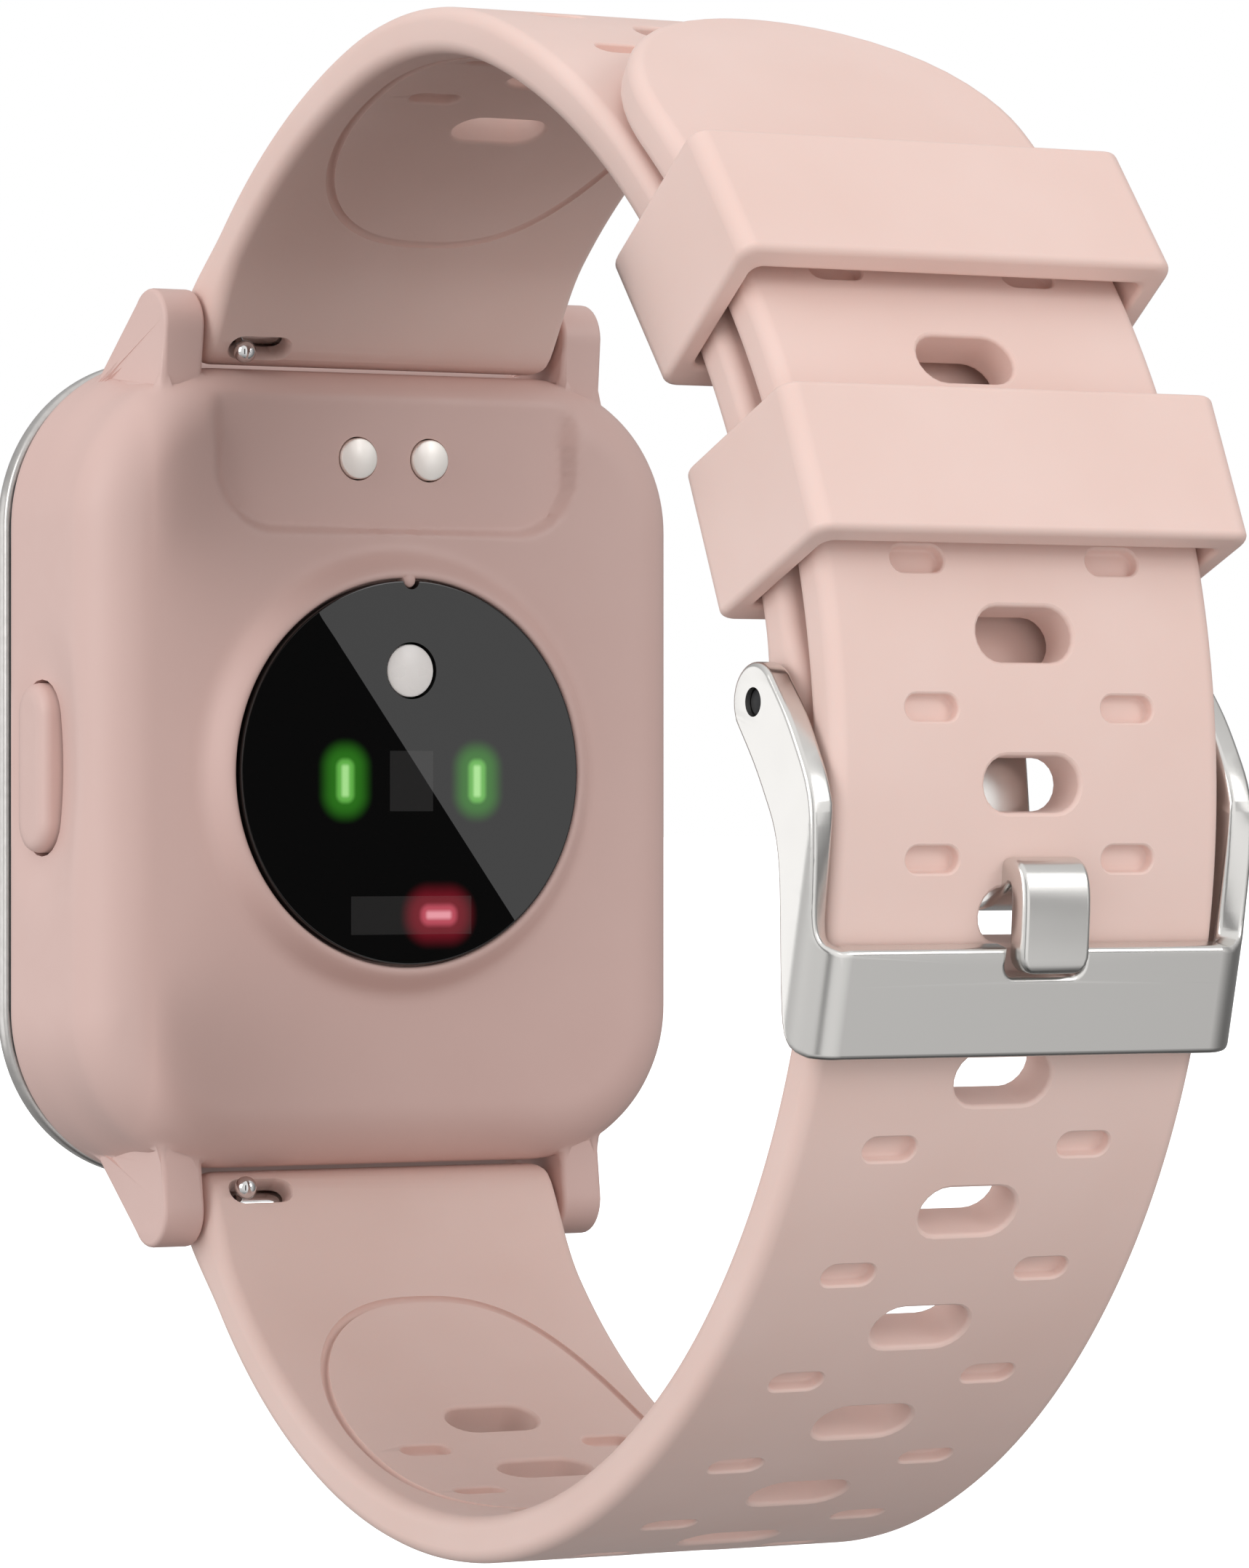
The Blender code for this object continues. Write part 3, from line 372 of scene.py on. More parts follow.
def sum_colours(tree, first, second):
    """The sum of two colours. Socket 0 is the factor, and 6 and 7 are the two colours."""
    mix = add(tree, "ShaderNodeMix", {"data_type": "RGBA", "blend_type": "ADD"}, _0=1.0, _6=first, _7=second)
    return mix.outputs[2]


GREEN_STOPS = ((0.0, "A6E08E", 0.85), (0.28, "6CC052", 0.7), (0.62, "2E7A1C", 0.65), (1.7, "000000", 0.0))
RED_STOPS = ((0.0, "E89AA4", 0.85), (0.30, "C84E60", 0.7), (0.70, "7A1424", 0.7), (1.9, "000000", 0.0))


def sensor_glass():
    material, tree, shader, place = finish("black_printed_glass", "060606", 0.0, IOR=1.52)
    patch_edge = ((0.0, "3A3A3A", 0.55), (0.02, "3A3A3A", 0.55), (0.06, "000000", 0.0))
    black = add(tree, "ShaderNodeRGB")
    black.outputs[0].default_value = linear("060606")
    diode = rectangle_distance(tree, place, (0.0, LAMP_ROW_Z), (1.30 * MM, 1.60 * MM))
    strip = rectangle_distance(tree, place, (0.0, PULSE_ROW_Z), (3.70 * MM, 1.00 * MM))
    colour = sum_colours(tree, black.outputs[0], glow_colour(tree, diode, patch_edge))
    colour = sum_colours(tree, colour, glow_colour(tree, strip, patch_edge))
    tree.links.new(colour, shader.inputs["Base Color"])
    glows = []
    for x in (LAMP_X, -LAMP_X):
        lamp = rectangle_distance(tree, place, (x, LAMP_ROW_Z), (0.08 * MM, 0.72 * MM))
        glows.append(glow_colour(tree, lamp, GREEN_STOPS))
    pulse = rectangle_distance(tree, place, (PULSE_X, PULSE_ROW_Z), (0.62 * MM, 0.06 * MM))
    glows.append(glow_colour(tree, pulse, RED_STOPS))
    total = sum_colours(tree, sum_colours(tree, glows[0], glows[1]), glows[2])
    tree.links.new(total, shader.inputs["Emission Color"])
    shader.inputs["Emission Strength"].default_value = 1.15
    return material


SENSOR_GLASS = sensor_glass()
FRONT_GLASS, tree, shader, place = finish("black_cover_glass", "040405", 0.05, IOR=1.52)
grain(tree, shader, place, 0.4 * MM, 0.004)
print("glass ready")

# %% [markdown]
# Hidden pieces keep their solids and get honest finishes: solder mask on the boards, foil on the battery,
# nickel on the motor and magnets, glass-filled nylon on the inner frame, and clear resin over the lamps.


# %% Finishes of the hidden pieces
def plain(name, base, roughness, size, strength, **inputs):
    """A finish with a slight change of tone and a fine grain."""
    material, tree, shader, place = finish(name, base, roughness, **inputs)
    mottle(tree, shader, place, 4 * size, roughness * 0.85, min(roughness * 1.15, 1.0), "Roughness")
    grain(tree, shader, place, size, strength)
    return material


def solder_mask():
    material, tree, shader, place = finish("green_solder_mask", "1F4A35", 0.38)
    tracks = add(tree, "ShaderNodeTexBrick", Vector=place, Scale=1 / (1.2 * MM), Mortar_Size=0.06)
    tracks.inputs["Color1"].default_value = linear("1F4A35")
    tracks.inputs["Color2"].default_value = linear("245640")
    tracks.inputs["Mortar"].default_value = linear("3A7A52")
    tree.links.new(tracks.outputs["Color"], shader.inputs["Base Color"])
    grain(tree, shader, place, 0.3 * MM, 0.1)
    return material


HIDDEN_FINISHES = {
    solder_mask(): ("main_board", "sensor_board"),
    plain("battery_foil", "B9B9BB", 0.32, 1.5 * MM, 0.3, Metallic=0.9): ("battery",),
    plain("nickel_plate", "B4B0A8", 0.25, 0.2 * MM, 0.05, Metallic=1.0): (
        "vibration_motor", "charger_magnet_right", "charger_magnet_left",
    ),
    plain("filled_nylon", "5E5E60", 0.55, 0.15 * MM, 0.2): ("inner_frame", "button_switch"),
    plain("seal_rubber", "1C1C1C", 0.70, 0.2 * MM, 0.2): ("case_seal",),
    plain("display_back_film", "121214", 0.28, 0.5 * MM, 0.05): ("display_panel", "photodiode"),
    plain("green_lamp_resin", "8CF07E", 0.35, 0.2 * MM, 0.05): ("green_lamp_right", "green_lamp_left"),
    plain("red_lamp_resin", "7A2028", 0.35, 0.2 * MM, 0.05): ("red_lamp",),
    plain("zinc_screw_steel", "B8B6B2", 0.33, 0.1 * MM, 0.05, Metallic=1.0): (
        "case_screw_1", "case_screw_2", "case_screw_3", "case_screw_4",
    ),
    SPRING: ("upper_bar_spring", "lower_bar_spring"),
    BRIGHT: ("upper_fixed_tip", "lower_fixed_tip"),
}
for material, names in HIDDEN_FINISHES.items():
    for name in names:
        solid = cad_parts[name]
        solid.data.materials.clear()
        solid.data.materials.append(material)
CERAMIC = plain("white_ceramic", "FDFBF8", 0.30, 0.2 * MM, 0.03)
print(sum(len(names) for names in HIDDEN_FINISHES.values()), "hidden pieces finished")


# %% [markdown]
# Each finished piece rides on a body and stands for its plain solid. One function does both, so no piece is
# forgotten.


# %% Handing a piece over
def hand_over(obj, material, body, slot, *nodes):
    obj.data.materials.clear()
    obj.data.materials.append(material)
    obj.data.polygons.foreach_set("material_index", [0] * len(obj.data.polygons))
    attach(obj, body)
    if nodes:
        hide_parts(*nodes)
    triangles = sum(len(face.vertices) - 2 for face in obj.data.polygons)
    print(f"{obj.name}: {triangles} triangles on {body}")


# %% [markdown]
# ## The strap as a rule
# A silicone strap is moulded flat and takes its curve when it is buckled. So each half is drawn flat here,
# with X across, Y through its thickness and Z along it. Its slots are cut while it is flat, where a cut is
# easy, and Geometry Nodes then lays it along its path. The flat blank is a ladder of rungs with a rounded
# rim all round.

# %% Sizes of the strap
STRAP_HALF_WIDTH = 11.0 * MM
STRAP_HALF_THICKNESS = 1.2 * MM
STRAP_RIM = 0.75 * MM
RUNG_SPACING = 0.6 * MM
BAR_Y, BAR_Z = -26.0 * MM, 23.9 * MM
ROOT_RADIUS = 2.0 * MM
ROOT_SWELL = 6.0 * MM
ROOT_CORNER = 1.3 * MM
PIN_END_RADIUS = 1.5 * MM
PIN_END_SWELL = 4.0 * MM
PIN_END_ROUND = 0.8 * MM
END_SHARE = 0.985  # a half-round end stops at this share of its radius, so that it closes on a narrow face
# Each path: its turn at the bar in degrees, then its arcs as (radius, degrees).
UPPER_PATH = (37.3, ((36.7 * MM, 34.1), (23.1 * MM, 37.8), (42.2 * MM, 62.2)))
LOWER_PATH = (31.9, ((32.7 * MM, 83.4), (38.7 * MM, 100.4), (49.0 * MM, 28.0)))


def path_length(path):
    """The length of a path's arcs from the bar."""
    return sum(radius * radians(degrees) for radius, degrees in path[1])


for path in (UPPER_PATH, LOWER_PATH):
    print(f"strap half: {path_length(path) / MM:.1f} mm from the bar to its far end")


# %% A flat blank
def rungs(inset, length, round_tip):
    """Half widths and places of the rungs, from the root to the far end, for one inset of the outline."""
    start = -END_SHARE * ROOT_RADIUS
    half = STRAP_HALF_WIDTH - inset
    places = []
    for along, out in arc((0, 0), 1.0, 180, 90, 6):
        places.append((half - ROOT_CORNER * (1 - out), start + ROOT_CORNER * (1 + along)))
    square_reach = length + END_SHARE * PIN_END_RADIUS - PIN_END_ROUND
    reach = length - STRAP_HALF_WIDTH if round_tip else square_reach
    first = places[-1][1]
    count = round((reach - first) / RUNG_SPACING)
    places += [(half, first + (reach - first) * k / count) for k in range(1, count + 1)]
    if round_tip:
        turns = [radians(a) for a in (3, 7, 12, 18, 24, 31, 38, 46, 54, 62, 69, 75, 80, 84, 87, 89.3)]
        places += [(half * cos(a), reach + half * sin(a)) for a in turns]
    else:
        for a in map(radians, (20, 40, 60, 80, 90)):
            places.append((half - PIN_END_ROUND * (1 - cos(a)), reach + PIN_END_ROUND * sin(a)))
    return places


def blank(name, length, round_tip):
    """The flat strap with its rounded rim, as rings of the outline through the thickness."""
    rim = []
    for k in range(6):
        a = radians(18 * k)
        rim.append((STRAP_RIM * (1 - sin(a)), STRAP_HALF_THICKNESS - STRAP_RIM * (1 - cos(a))))
    layers = [(inset, -height) for inset, height in rim] + rim[::-1]
    bm = bmesh.new()
    loops = []
    for inset, height in layers:
        sides = rungs(inset, length, round_tip)
        right = [bm.verts.new((x, height, z)) for x, z in sides]
        left = [bm.verts.new((-x, height, z)) for x, z in sides]
        loops.append((right, left))
    for (right_a, left_a), (right_b, left_b) in zip(loops, loops[1:]):
        ring_a, ring_b = right_a + left_a[::-1], right_b + left_b[::-1]
        for i in range(len(ring_a)):
            j = (i + 1) % len(ring_a)
            bm.faces.new((ring_a[i], ring_a[j], ring_b[j], ring_b[i]))
    for right, left in (loops[0], loops[-1]):
        for i in range(len(right) - 1):
            bm.faces.new((right[i], right[i + 1], left[i + 1], left[i]))
    return store(name, bm)


# %% [markdown]
# ### Slots in rows
# A slot's cutter is a plug whose outline flares where it meets the surface, so the moulded lip comes out of
# the cut itself. Geometry Nodes repeats a plug along the strap from three inputs: where the row starts, its
# pitch and count.


# %% Plugs for the slots
def capsule(half_length, radius, steps=10):
    """A slot's outline: two half circles joined by straight sides, as (across, along) points."""
    right = [(half_length + radius * cos(a), radius * sin(a)) for a in
             [radians(-90 + 180 * k / steps) for k in range(steps + 1)]]
    return right + [(-x, -z) for x, z in right]


def plug(name, size, levels):
    """A cutter over (height, outset) levels of one capsule outline."""
    half_length, radius = (size[0] - size[1]) / 2, size[1] / 2
    rings = [[(x, height, z) for x, z in capsule(half_length, radius + outset)] for height, outset in levels]
    return store(name, ring_mesh(rings))


def flare(surface, lip, side=1):
    """Levels where a wall turns outwards into a surface through a quarter round, and on past it."""
    levels = []
    for a in map(radians, (0, 20, 40, 60, 76)):
        levels.append((side * (surface - lip + lip * sin(a)), lip * (1 - cos(a))))
    levels.append((side * (surface + 0.12 * MM), lip * 1.7))
    return levels


SLOT_LIP = 0.24 * MM
POCKET_LIP = 0.15 * MM
POCKET_DEPTH = 0.62 * MM
SLOT_SIZE = (5.4 * MM, 2.6 * MM)
POCKET_SIZE = (2.95 * MM, 1.24 * MM)


def make_plugs():
    through = flare(STRAP_HALF_THICKNESS, SLOT_LIP, -1)[::-1] + flare(STRAP_HALF_THICKNESS, SLOT_LIP)
    slot_plug = plug("slot_plug", SLOT_SIZE, through)
    floor = STRAP_HALF_THICKNESS - POCKET_DEPTH
    pockets = []
    for side in (1, -1):
        floor_edge = [(side * floor, -0.16 * MM), (side * (floor + 0.04 * MM), -0.05 * MM)]
        wall = [(side * (floor + 0.14 * MM), 0.0)]
        levels = floor_edge + wall + flare(STRAP_HALF_THICKNESS, POCKET_LIP, side)
        pockets.append(plug(f"pocket_plug_{side}", POCKET_SIZE, levels))
    return slot_plug, *pockets


# %% A node tree that repeats a plug along the strap
def group(name, sockets):
    """An empty geometry node tree with named inputs, and its input and output nodes."""
    tree = bpy.data.node_groups.new(name, "GeometryNodeTree")
    tree.interface.new_socket("Geometry", in_out="INPUT", socket_type="NodeSocketGeometry")
    tree.interface.new_socket("Geometry", in_out="OUTPUT", socket_type="NodeSocketGeometry")
    for label, kind in sockets:
        tree.interface.new_socket(label, in_out="INPUT", socket_type=kind)
    return tree, add(tree, "NodeGroupInput"), add(tree, "NodeGroupOutput")


def row_tree():
    tree, given, result = group(
        "row_along_strap",
        (("Plug", "NodeSocketObject"), ("Start", "NodeSocketFloat"), ("Pitch", "NodeSocketFloat"),
         ("Count", "NodeSocketInt"), ("Across", "NodeSocketFloat"), ("Finish", "NodeSocketMaterial")),
    )
    start = add(tree, "ShaderNodeCombineXYZ", X=given.outputs["Across"], Z=given.outputs["Start"])
    step = add(tree, "ShaderNodeCombineXYZ", Z=given.outputs["Pitch"])
    line = add(tree, "GeometryNodeMeshLine", {"mode": "OFFSET"}, Count=given.outputs["Count"],
               Start_Location=start.outputs[0], Offset=step.outputs[0])
    shape = add(tree, "GeometryNodeObjectInfo", Object=given.outputs["Plug"], As_Instance=True)
    copies = add(tree, "GeometryNodeInstanceOnPoints", Points=line.outputs[0],
                 Instance=shape.outputs["Geometry"])
    real = add(tree, "GeometryNodeRealizeInstances", Geometry=copies.outputs[0])
    painted = add(tree, "GeometryNodeSetMaterial", Geometry=real.outputs[0], Material=given.outputs["Finish"])
    tree.links.new(painted.outputs[0], result.inputs[0])
    return tree


def with_tree(obj, tree, **values):
    """Runs a geometry node tree on an object and keeps the result as a plain mesh."""
    modifier = obj.modifiers.new(tree.name, "NODES")
    modifier.node_group = tree
    keys = {item.name: item.identifier for item in tree.interface.items_tree if item.in_out == "INPUT"}
    for label, value in values.items():
        modifier[keys[label]] = value
    return baked(obj)


ROW = row_tree()


def row_of(shape, start, pitch, count, across=0.0):
    """A row of plugs: where it starts along the strap and its pitch, both in millimetres, and the count."""
    holder = placed("row", bpy.data.meshes.new("row"))
    return with_tree(holder, ROW, Plug=shape, Start=start * MM, Pitch=pitch * MM, Count=count, Across=across,
                     Finish=SILICONE)


print("row tree has inputs:", [item.name for item in ROW.interface.items_tree if item.in_out == "INPUT"])

# %% [markdown]
# ### The line on the inner face
# Near each lug the wrist side carries a fine moulded groove, an oval as wide as the strap allows. A
# superellipse gives its fuller shoulders, and a thin tube along it makes the cutter.

# %% The oval groove
OVAL_MIDDLE = 21.0 * MM
OVAL_REACH = (9.0 * MM, 13.6 * MM)
OVAL_POWER = 2.5
OVAL_POINTS = 120
GROOVE_RADIUS = 0.26 * MM
GROOVE_LIFT = 0.05 * MM


def oval_groove():
    """A closed tube along a superellipse on the inner face, as a mesh cutter."""
    points = []
    for k in range(OVAL_POINTS):
        a = 2 * pi * k / OVAL_POINTS
        across, along = (abs(f(a)) ** (2 / OVAL_POWER) * (1 if f(a) > 0 else -1) for f in (cos, sin))
        height = -STRAP_HALF_THICKNESS + GROOVE_LIFT
        points.append((across * OVAL_REACH[0], height, OVAL_MIDDLE + along * OVAL_REACH[1]))
    groove = line_of("oval_groove", points, cyclic=True)
    groove.data.bevel_depth = GROOVE_RADIUS
    groove.data.bevel_resolution = 3
    return baked(groove)


# %% [markdown]
# ### Laying the strap along its path
# The path is a curve of arcs. A second node tree samples that curve at each point's own length along the
# strap, and sets the point off from it by its place across and through the thickness.


# %% The path curve and the bending tree
LEAD = 3.0 * MM


def path_curve(name, path, side):
    """The strap's middle line as a fine curve, with a straight lead before the bar and after the end."""
    turned = radians(path[0])
    place = Vector((0, BAR_Y, BAR_Z))
    points = [place - LEAD * Vector((0, sin(turned), cos(turned))), place.copy()]
    for radius, degrees in path[1]:
        steps = round(radius * radians(degrees) / (0.25 * MM))
        turn = radians(degrees) / steps
        for _ in range(steps):
            middle = turned + turn / 2
            place += 2 * radius * sin(turn / 2) * Vector((0, sin(middle), cos(middle)))
            turned += turn
            points.append(place.copy())
    points.append(place + LEAD * Vector((0, sin(turned), cos(turned))))
    return line_of(name, [(0, p.y, side * p.z) for p in points])


def bending_tree():
    tree, given, result = group(
        "lay_along_path",
        (("Path", "NodeSocketObject"), ("Lead", "NodeSocketFloat"), ("Side", "NodeSocketFloat"),
         ("Finish", "NodeSocketMaterial")),
    )
    line = add(tree, "GeometryNodeObjectInfo", Object=given.outputs["Path"])
    place = add(tree, "GeometryNodeInputPosition")
    split = add(tree, "ShaderNodeSeparateXYZ", Vector=place.outputs[0])
    reach = add(tree, "ShaderNodeMath", {"operation": "ADD"}, _0=split.outputs["Z"], _1=given.outputs["Lead"])
    sample = add(tree, "GeometryNodeSampleCurve", {"mode": "LENGTH"}, Length=reach.outputs[0])
    tree.links.new(line.outputs["Geometry"], sample.inputs["Curves"])
    across = add(tree, "ShaderNodeCombineXYZ", X=split.outputs["X"])
    unit = add(tree, "ShaderNodeCombineXYZ", X=given.outputs["Side"])
    outward = add(tree, "ShaderNodeVectorMath", {"operation": "CROSS_PRODUCT"}, _0=unit.outputs[0],
                  _1=sample.outputs["Tangent"])
    lifted = add(tree, "ShaderNodeVectorMath", {"operation": "SCALE"}, _0=outward.outputs[0],
                 Scale=split.outputs["Y"])
    moved = add(tree, "ShaderNodeVectorMath", {"operation": "ADD"}, _0=sample.outputs["Position"],
                _1=lifted.outputs[0])
    total = add(tree, "ShaderNodeVectorMath", {"operation": "ADD"}, _0=moved.outputs[0], _1=across.outputs[0])
    laid = add(tree, "GeometryNodeSetPosition", Geometry=given.outputs["Geometry"], Position=total.outputs[0])
    real = add(tree, "GeometryNodeRealizeInstances", Geometry=laid.outputs[0])
    painted = add(tree, "GeometryNodeSetMaterial", Geometry=real.outputs[0], Material=given.outputs["Finish"])
    tree.links.new(painted.outputs[0], result.inputs[0])
    return tree


BENDING = bending_tree()
print("bending tree has", len(BENDING.nodes), "nodes")


# %% [markdown]
# The strap is thicker where it wraps the spring bar and, on the upper half, where it wraps the buckle's
# pin. Both ends are half rounds, so the flat blank's height is scaled along its length before the bores are
# cut.


# %% Thickness, bores and the two strap halves
def root_height(z):
    if z < 0:
        return sqrt(max(ROOT_RADIUS**2 - z**2, 0))
    return ROOT_RADIUS + (STRAP_HALF_THICKNESS - ROOT_RADIUS) * smooth_step(z / ROOT_SWELL)


def pin_end_height(z, length):
    if z > length:
        return sqrt(max(PIN_END_RADIUS**2 - (z - length) ** 2, 0))
    swell = smooth_step((z - length + PIN_END_SWELL) / (PIN_END_SWELL - 0.5 * MM))
    return STRAP_HALF_THICKNESS + (PIN_END_RADIUS - STRAP_HALF_THICKNESS) * swell


def set_heights(obj, length, round_tip):
    for vertex in obj.data.vertices:
        z = vertex.co.z
        height = root_height(z) if z < ROOT_SWELL else STRAP_HALF_THICKNESS
        if not round_tip and z > length - PIN_END_SWELL:
            height = pin_end_height(z, length)
        vertex.co.y *= height / STRAP_HALF_THICKNESS


def cross_bore(name, z, radius):
    """A drill right across the strap at one place along it."""
    return drill(name, 13 * MM, radius, (0, 0, z), X_AXIS, 40)


KNOB_SLOT_X = (5.9 * MM, 9.4 * MM)
KNOB_SLOT_HEIGHT = 1.35 * MM
# The knob slot's plug, as (height, outset) in millimetres.
KNOB_SLOT_LEVELS = ((-4, 0.5), (-2.1, 0.32), (-1.85, 0.1), (-1.6, 0), (0, 0))
TONGUE_GAP = (4.3 * MM, 6 * MM, 6 * MM, 1)
TONGUE_GAP_PLACE = 1.3 * MM


def strap_half(name, path, side, round_tip, centre_rows, pocket_rows):
    """One strap half: the blank is cut, bored and laid along its path, upwards or downwards by its side."""
    length = path_length(path)
    strap = blank(name, length, round_tip)
    slot_plug, outer_pocket, inner_pocket = make_plugs()
    rows = [row_of(slot_plug, *row) for row in centre_rows]
    for start, pitch, count in pocket_rows:
        for across in (POCKET_ACROSS, -POCKET_ACROSS):
            rows += [row_of(shape, start, pitch, count, across) for shape in (outer_pocket, inner_pocket)]
    for shape in (slot_plug, outer_pocket, inner_pocket):
        bpy.data.objects.remove(shape, do_unlink=True)
    strap = with_tool(strap, joined("slots", rows))
    strap = with_tool(strap, oval_groove())
    set_heights(strap, length, round_tip)
    strap = with_tool(strap, cross_bore("bar_bore", 0, 0.95 * MM))
    middle = sum(KNOB_SLOT_X) / 2
    levels = [(height * MM, outset * MM) for height, outset in KNOB_SLOT_LEVELS]
    slot = plug("knob_slot", (KNOB_SLOT_X[1] - KNOB_SLOT_X[0], KNOB_SLOT_HEIGHT), levels)
    slot.data.transform(Matrix.Translation((middle, 0, 0)))
    strap = with_tool(strap, slot)
    if not round_tip:
        strap = with_tool(strap, cross_bore("pin_bore", length, 0.8 * MM))
        notch = bmesh.new()
        there = Matrix.Translation((0, 0, length + TONGUE_GAP_PLACE)) @ Matrix.Diagonal(TONGUE_GAP)
        bmesh.ops.create_cube(notch, size=1.0, matrix=there)
        strap = with_tool(strap, store("tongue_notch", notch))
    curve = path_curve(name + "_path", path, side)
    strap = with_tree(strap, BENDING, Path=curve, Lead=LEAD, Side=float(side), Finish=SILICONE)
    bpy.data.objects.remove(curve, do_unlink=True)
    return shaded(store(name, opened(strap), 50), 50)


# %% Rows of each half, and the finished straps
POCKET_ACROSS = 5.55 * MM
# Each row is (start, pitch, count). The lower half's third row is the hole that the tongue goes through.
UPPER_ROWS = ((17.8, 6.6, 6),)
UPPER_POCKETS = ((21.1, 6.6, 5),)
LOWER_ROWS = ((17.8, 6.25, 5), (49.75, 6.95, 5), (85.4, 1, 1), (91.45, 6.95, 5))
LOWER_POCKETS = ((20.9, 6.25, 4), (46.3, 6.95, 10), (117.4, 1, 1))

upper_strap = strap_half("upper_strap_silicone", UPPER_PATH, 1, False, UPPER_ROWS, UPPER_POCKETS)
hand_over(upper_strap, SILICONE, "upper_strap", "silicone", "short_band")
lower_strap = strap_half("lower_strap_silicone", LOWER_PATH, -1, True, LOWER_ROWS, LOWER_POCKETS)
hand_over(lower_strap, SILICONE, "lower_strap", "silicone", "long_band")

# %% [markdown]
# ## The case back
# The back shell is one skin: rings that start as circles round the sensor window and turn into the case's
# rounded rectangle. That gives a true circle at the window and a true fillet at the edge, with no seam
# between them. The pad recess and the thumb scoop at the button are pressed into the same skin by formula.

# %% Case sizes
CASE_HALF = (18.3 * MM, 21.7 * MM)
CASE_CORNER = 8.5 * MM
BACK_Y = -22.7 * MM
BACK_EDGE = 3.3 * MM
COVER_FRONT_Y = -33.5 * MM
WALL = 1.3 * MM
FRONT_FLARE = 0.8 * MM
FLARE_START_Y = -27.4 * MM
FLARE_RUN = 3.4 * MM
FRONT_ROUND = 0.25 * MM
INNER_LEDGE_Y = -28.0 * MM
WINDOW_RADIUS = 10.45 * MM
SPOKES = 360
BLEND_RINGS, EDGE_RINGS, SIDE_RINGS = 36, 14, 20
# The well round the window and its raised ring, from the inside out, as (radius, Y) in millimetres.
WINDOW_WELL = ((9.7, -24.0), (9.7, -23.2), (9.7, -22.38), (9.75, -22.28), (10.45, -22.25), (10.58, -22.2),
               (10.58, -21.66), (10.62, -21.58), (10.7, -21.52), (10.82, -21.5), (10.95, -21.53),
               (11.08, -21.6), (11.3, -21.8), (11.55, -22.08), (11.78, -22.34), (11.98, -22.52),
               (12.2, -22.63), (12.45, -22.685))
BLEND_RADIUS = 12.7 * MM
WELL_RADIUS = 9.7 * MM


def box_spoke(angle, inset, flare_out=0.0):
    """Where a ray from the middle meets the case's outline, moved in by the inset."""
    half_x, half_z = CASE_HALF[0] - inset, CASE_HALF[1] + flare_out - inset
    corner = max(CASE_CORNER + flare_out - inset, 0.4 * MM)
    c, s = abs(cos(angle)), abs(sin(angle))
    if c > 1e-9 and half_x * s / c <= half_z - corner:
        reach = half_x / c
    elif s > 1e-9 and half_z * c / s <= half_x - corner:
        reach = half_z / s
    else:
        cx, cz = half_x - corner, half_z - corner
        along = cx * c + cz * s
        reach = along + sqrt(max(along**2 - (cx**2 + cz**2 - corner**2), 0))
    return reach * cos(angle), reach * sin(angle)


def case_ring(y, inset=None, radius=None, share=0.0):
    """One ring: a circle round the window, the case's outline, or a share of the way between them."""
    points = []
    flare_out = FRONT_FLARE * smooth_step((FLARE_START_Y - y) / FLARE_RUN)
    for k in range(SPOKES):
        a = 2 * pi * (k + 0.5) / SPOKES
        if inset is None:
            x, z = radius * cos(a), radius * sin(a) + WINDOW_Z
        else:
            x, z = box_spoke(a, inset, flare_out)
            if radius is not None:
                near_x, near_z = radius * cos(a), radius * sin(a) + WINDOW_Z
                x, z = near_x + (x - near_x) * share, near_z + (z - near_z) * share
        points.append(Vector((x, y, z)))
    return points


# %% Recess and scoop
PAD_HALF_WIDTH = 10.9 * MM
PAD_BOTTOM = 12.9 * MM
PAD_CORNER = 3.4 * MM
PAD_FLOOR = -23.28 * MM
PAD_SLOPE = 0.34 * MM
SCOOP_DEPTH = 0.75 * MM
SCOOP_REACH = (5.2 * MM, 9.0 * MM)
BUTTON_Y = -30.2 * MM


def press(point):
    """Presses the charging pad's recess into the back and the thumb scoop into the button's side."""
    dx = abs(point.x) - (PAD_HALF_WIDTH - PAD_CORNER)
    dz = (PAD_BOTTOM + PAD_CORNER) - point.z
    outside = hypot(max(dx, 0), max(dz, 0)) + min(max(dx, dz), 0) - PAD_CORNER
    mask = smooth_step(0.5 - outside / PAD_SLOPE)
    if point.y > PAD_FLOOR and point.z > 10 * MM:
        point.y += (PAD_FLOOR - point.y) * mask
    if point.x > 12 * MM:
        spread = hypot((point.y - BUTTON_Y - 0.9 * MM) / SCOOP_REACH[0], point.z / SCOOP_REACH[1])
        point.x -= SCOOP_DEPTH * (1 - min(spread, 1) ** 2) ** 2
    return point


def case_skin():
    """The back shell with its wall thickness, as one closed loop of rings."""
    rings = [case_ring(y * MM, radius=radius * MM) for radius, y in WINDOW_WELL]
    rings += [case_ring(BACK_Y, BACK_EDGE, BLEND_RADIUS, k / BLEND_RINGS) for k in range(BLEND_RINGS)]
    for inset, drop in arc((BACK_EDGE, -BACK_EDGE), BACK_EDGE, 90, 180, EDGE_RINGS):
        rings.append(case_ring(BACK_Y + drop, inset))
    deep = BACK_Y - BACK_EDGE
    run = COVER_FRONT_Y + FRONT_ROUND - deep
    rings += [case_ring(deep + run * k / SIDE_RINGS, 0.0) for k in range(1, SIDE_RINGS + 1)]
    pressed = rings[len(WINDOW_WELL):]
    rings += [case_ring(COVER_FRONT_Y + 0.07 * MM, 0.07 * MM), case_ring(COVER_FRONT_Y, FRONT_ROUND)]
    rings += [case_ring(COVER_FRONT_Y, WALL), case_ring(INNER_LEDGE_Y, WALL)]
    for inset, drop in arc((BACK_EDGE, -BACK_EDGE), BACK_EDGE - WALL, 180, 90, 4):
        rings.append(case_ring(BACK_Y + drop, inset))
    rings.append(case_ring(-24.0 * MM, BACK_EDGE, WELL_RADIUS, 0.5))
    for ring in pressed:
        for point in ring:
            press(point)
    return store("case_back_shell", ring_mesh(rings, closed=True), 50)


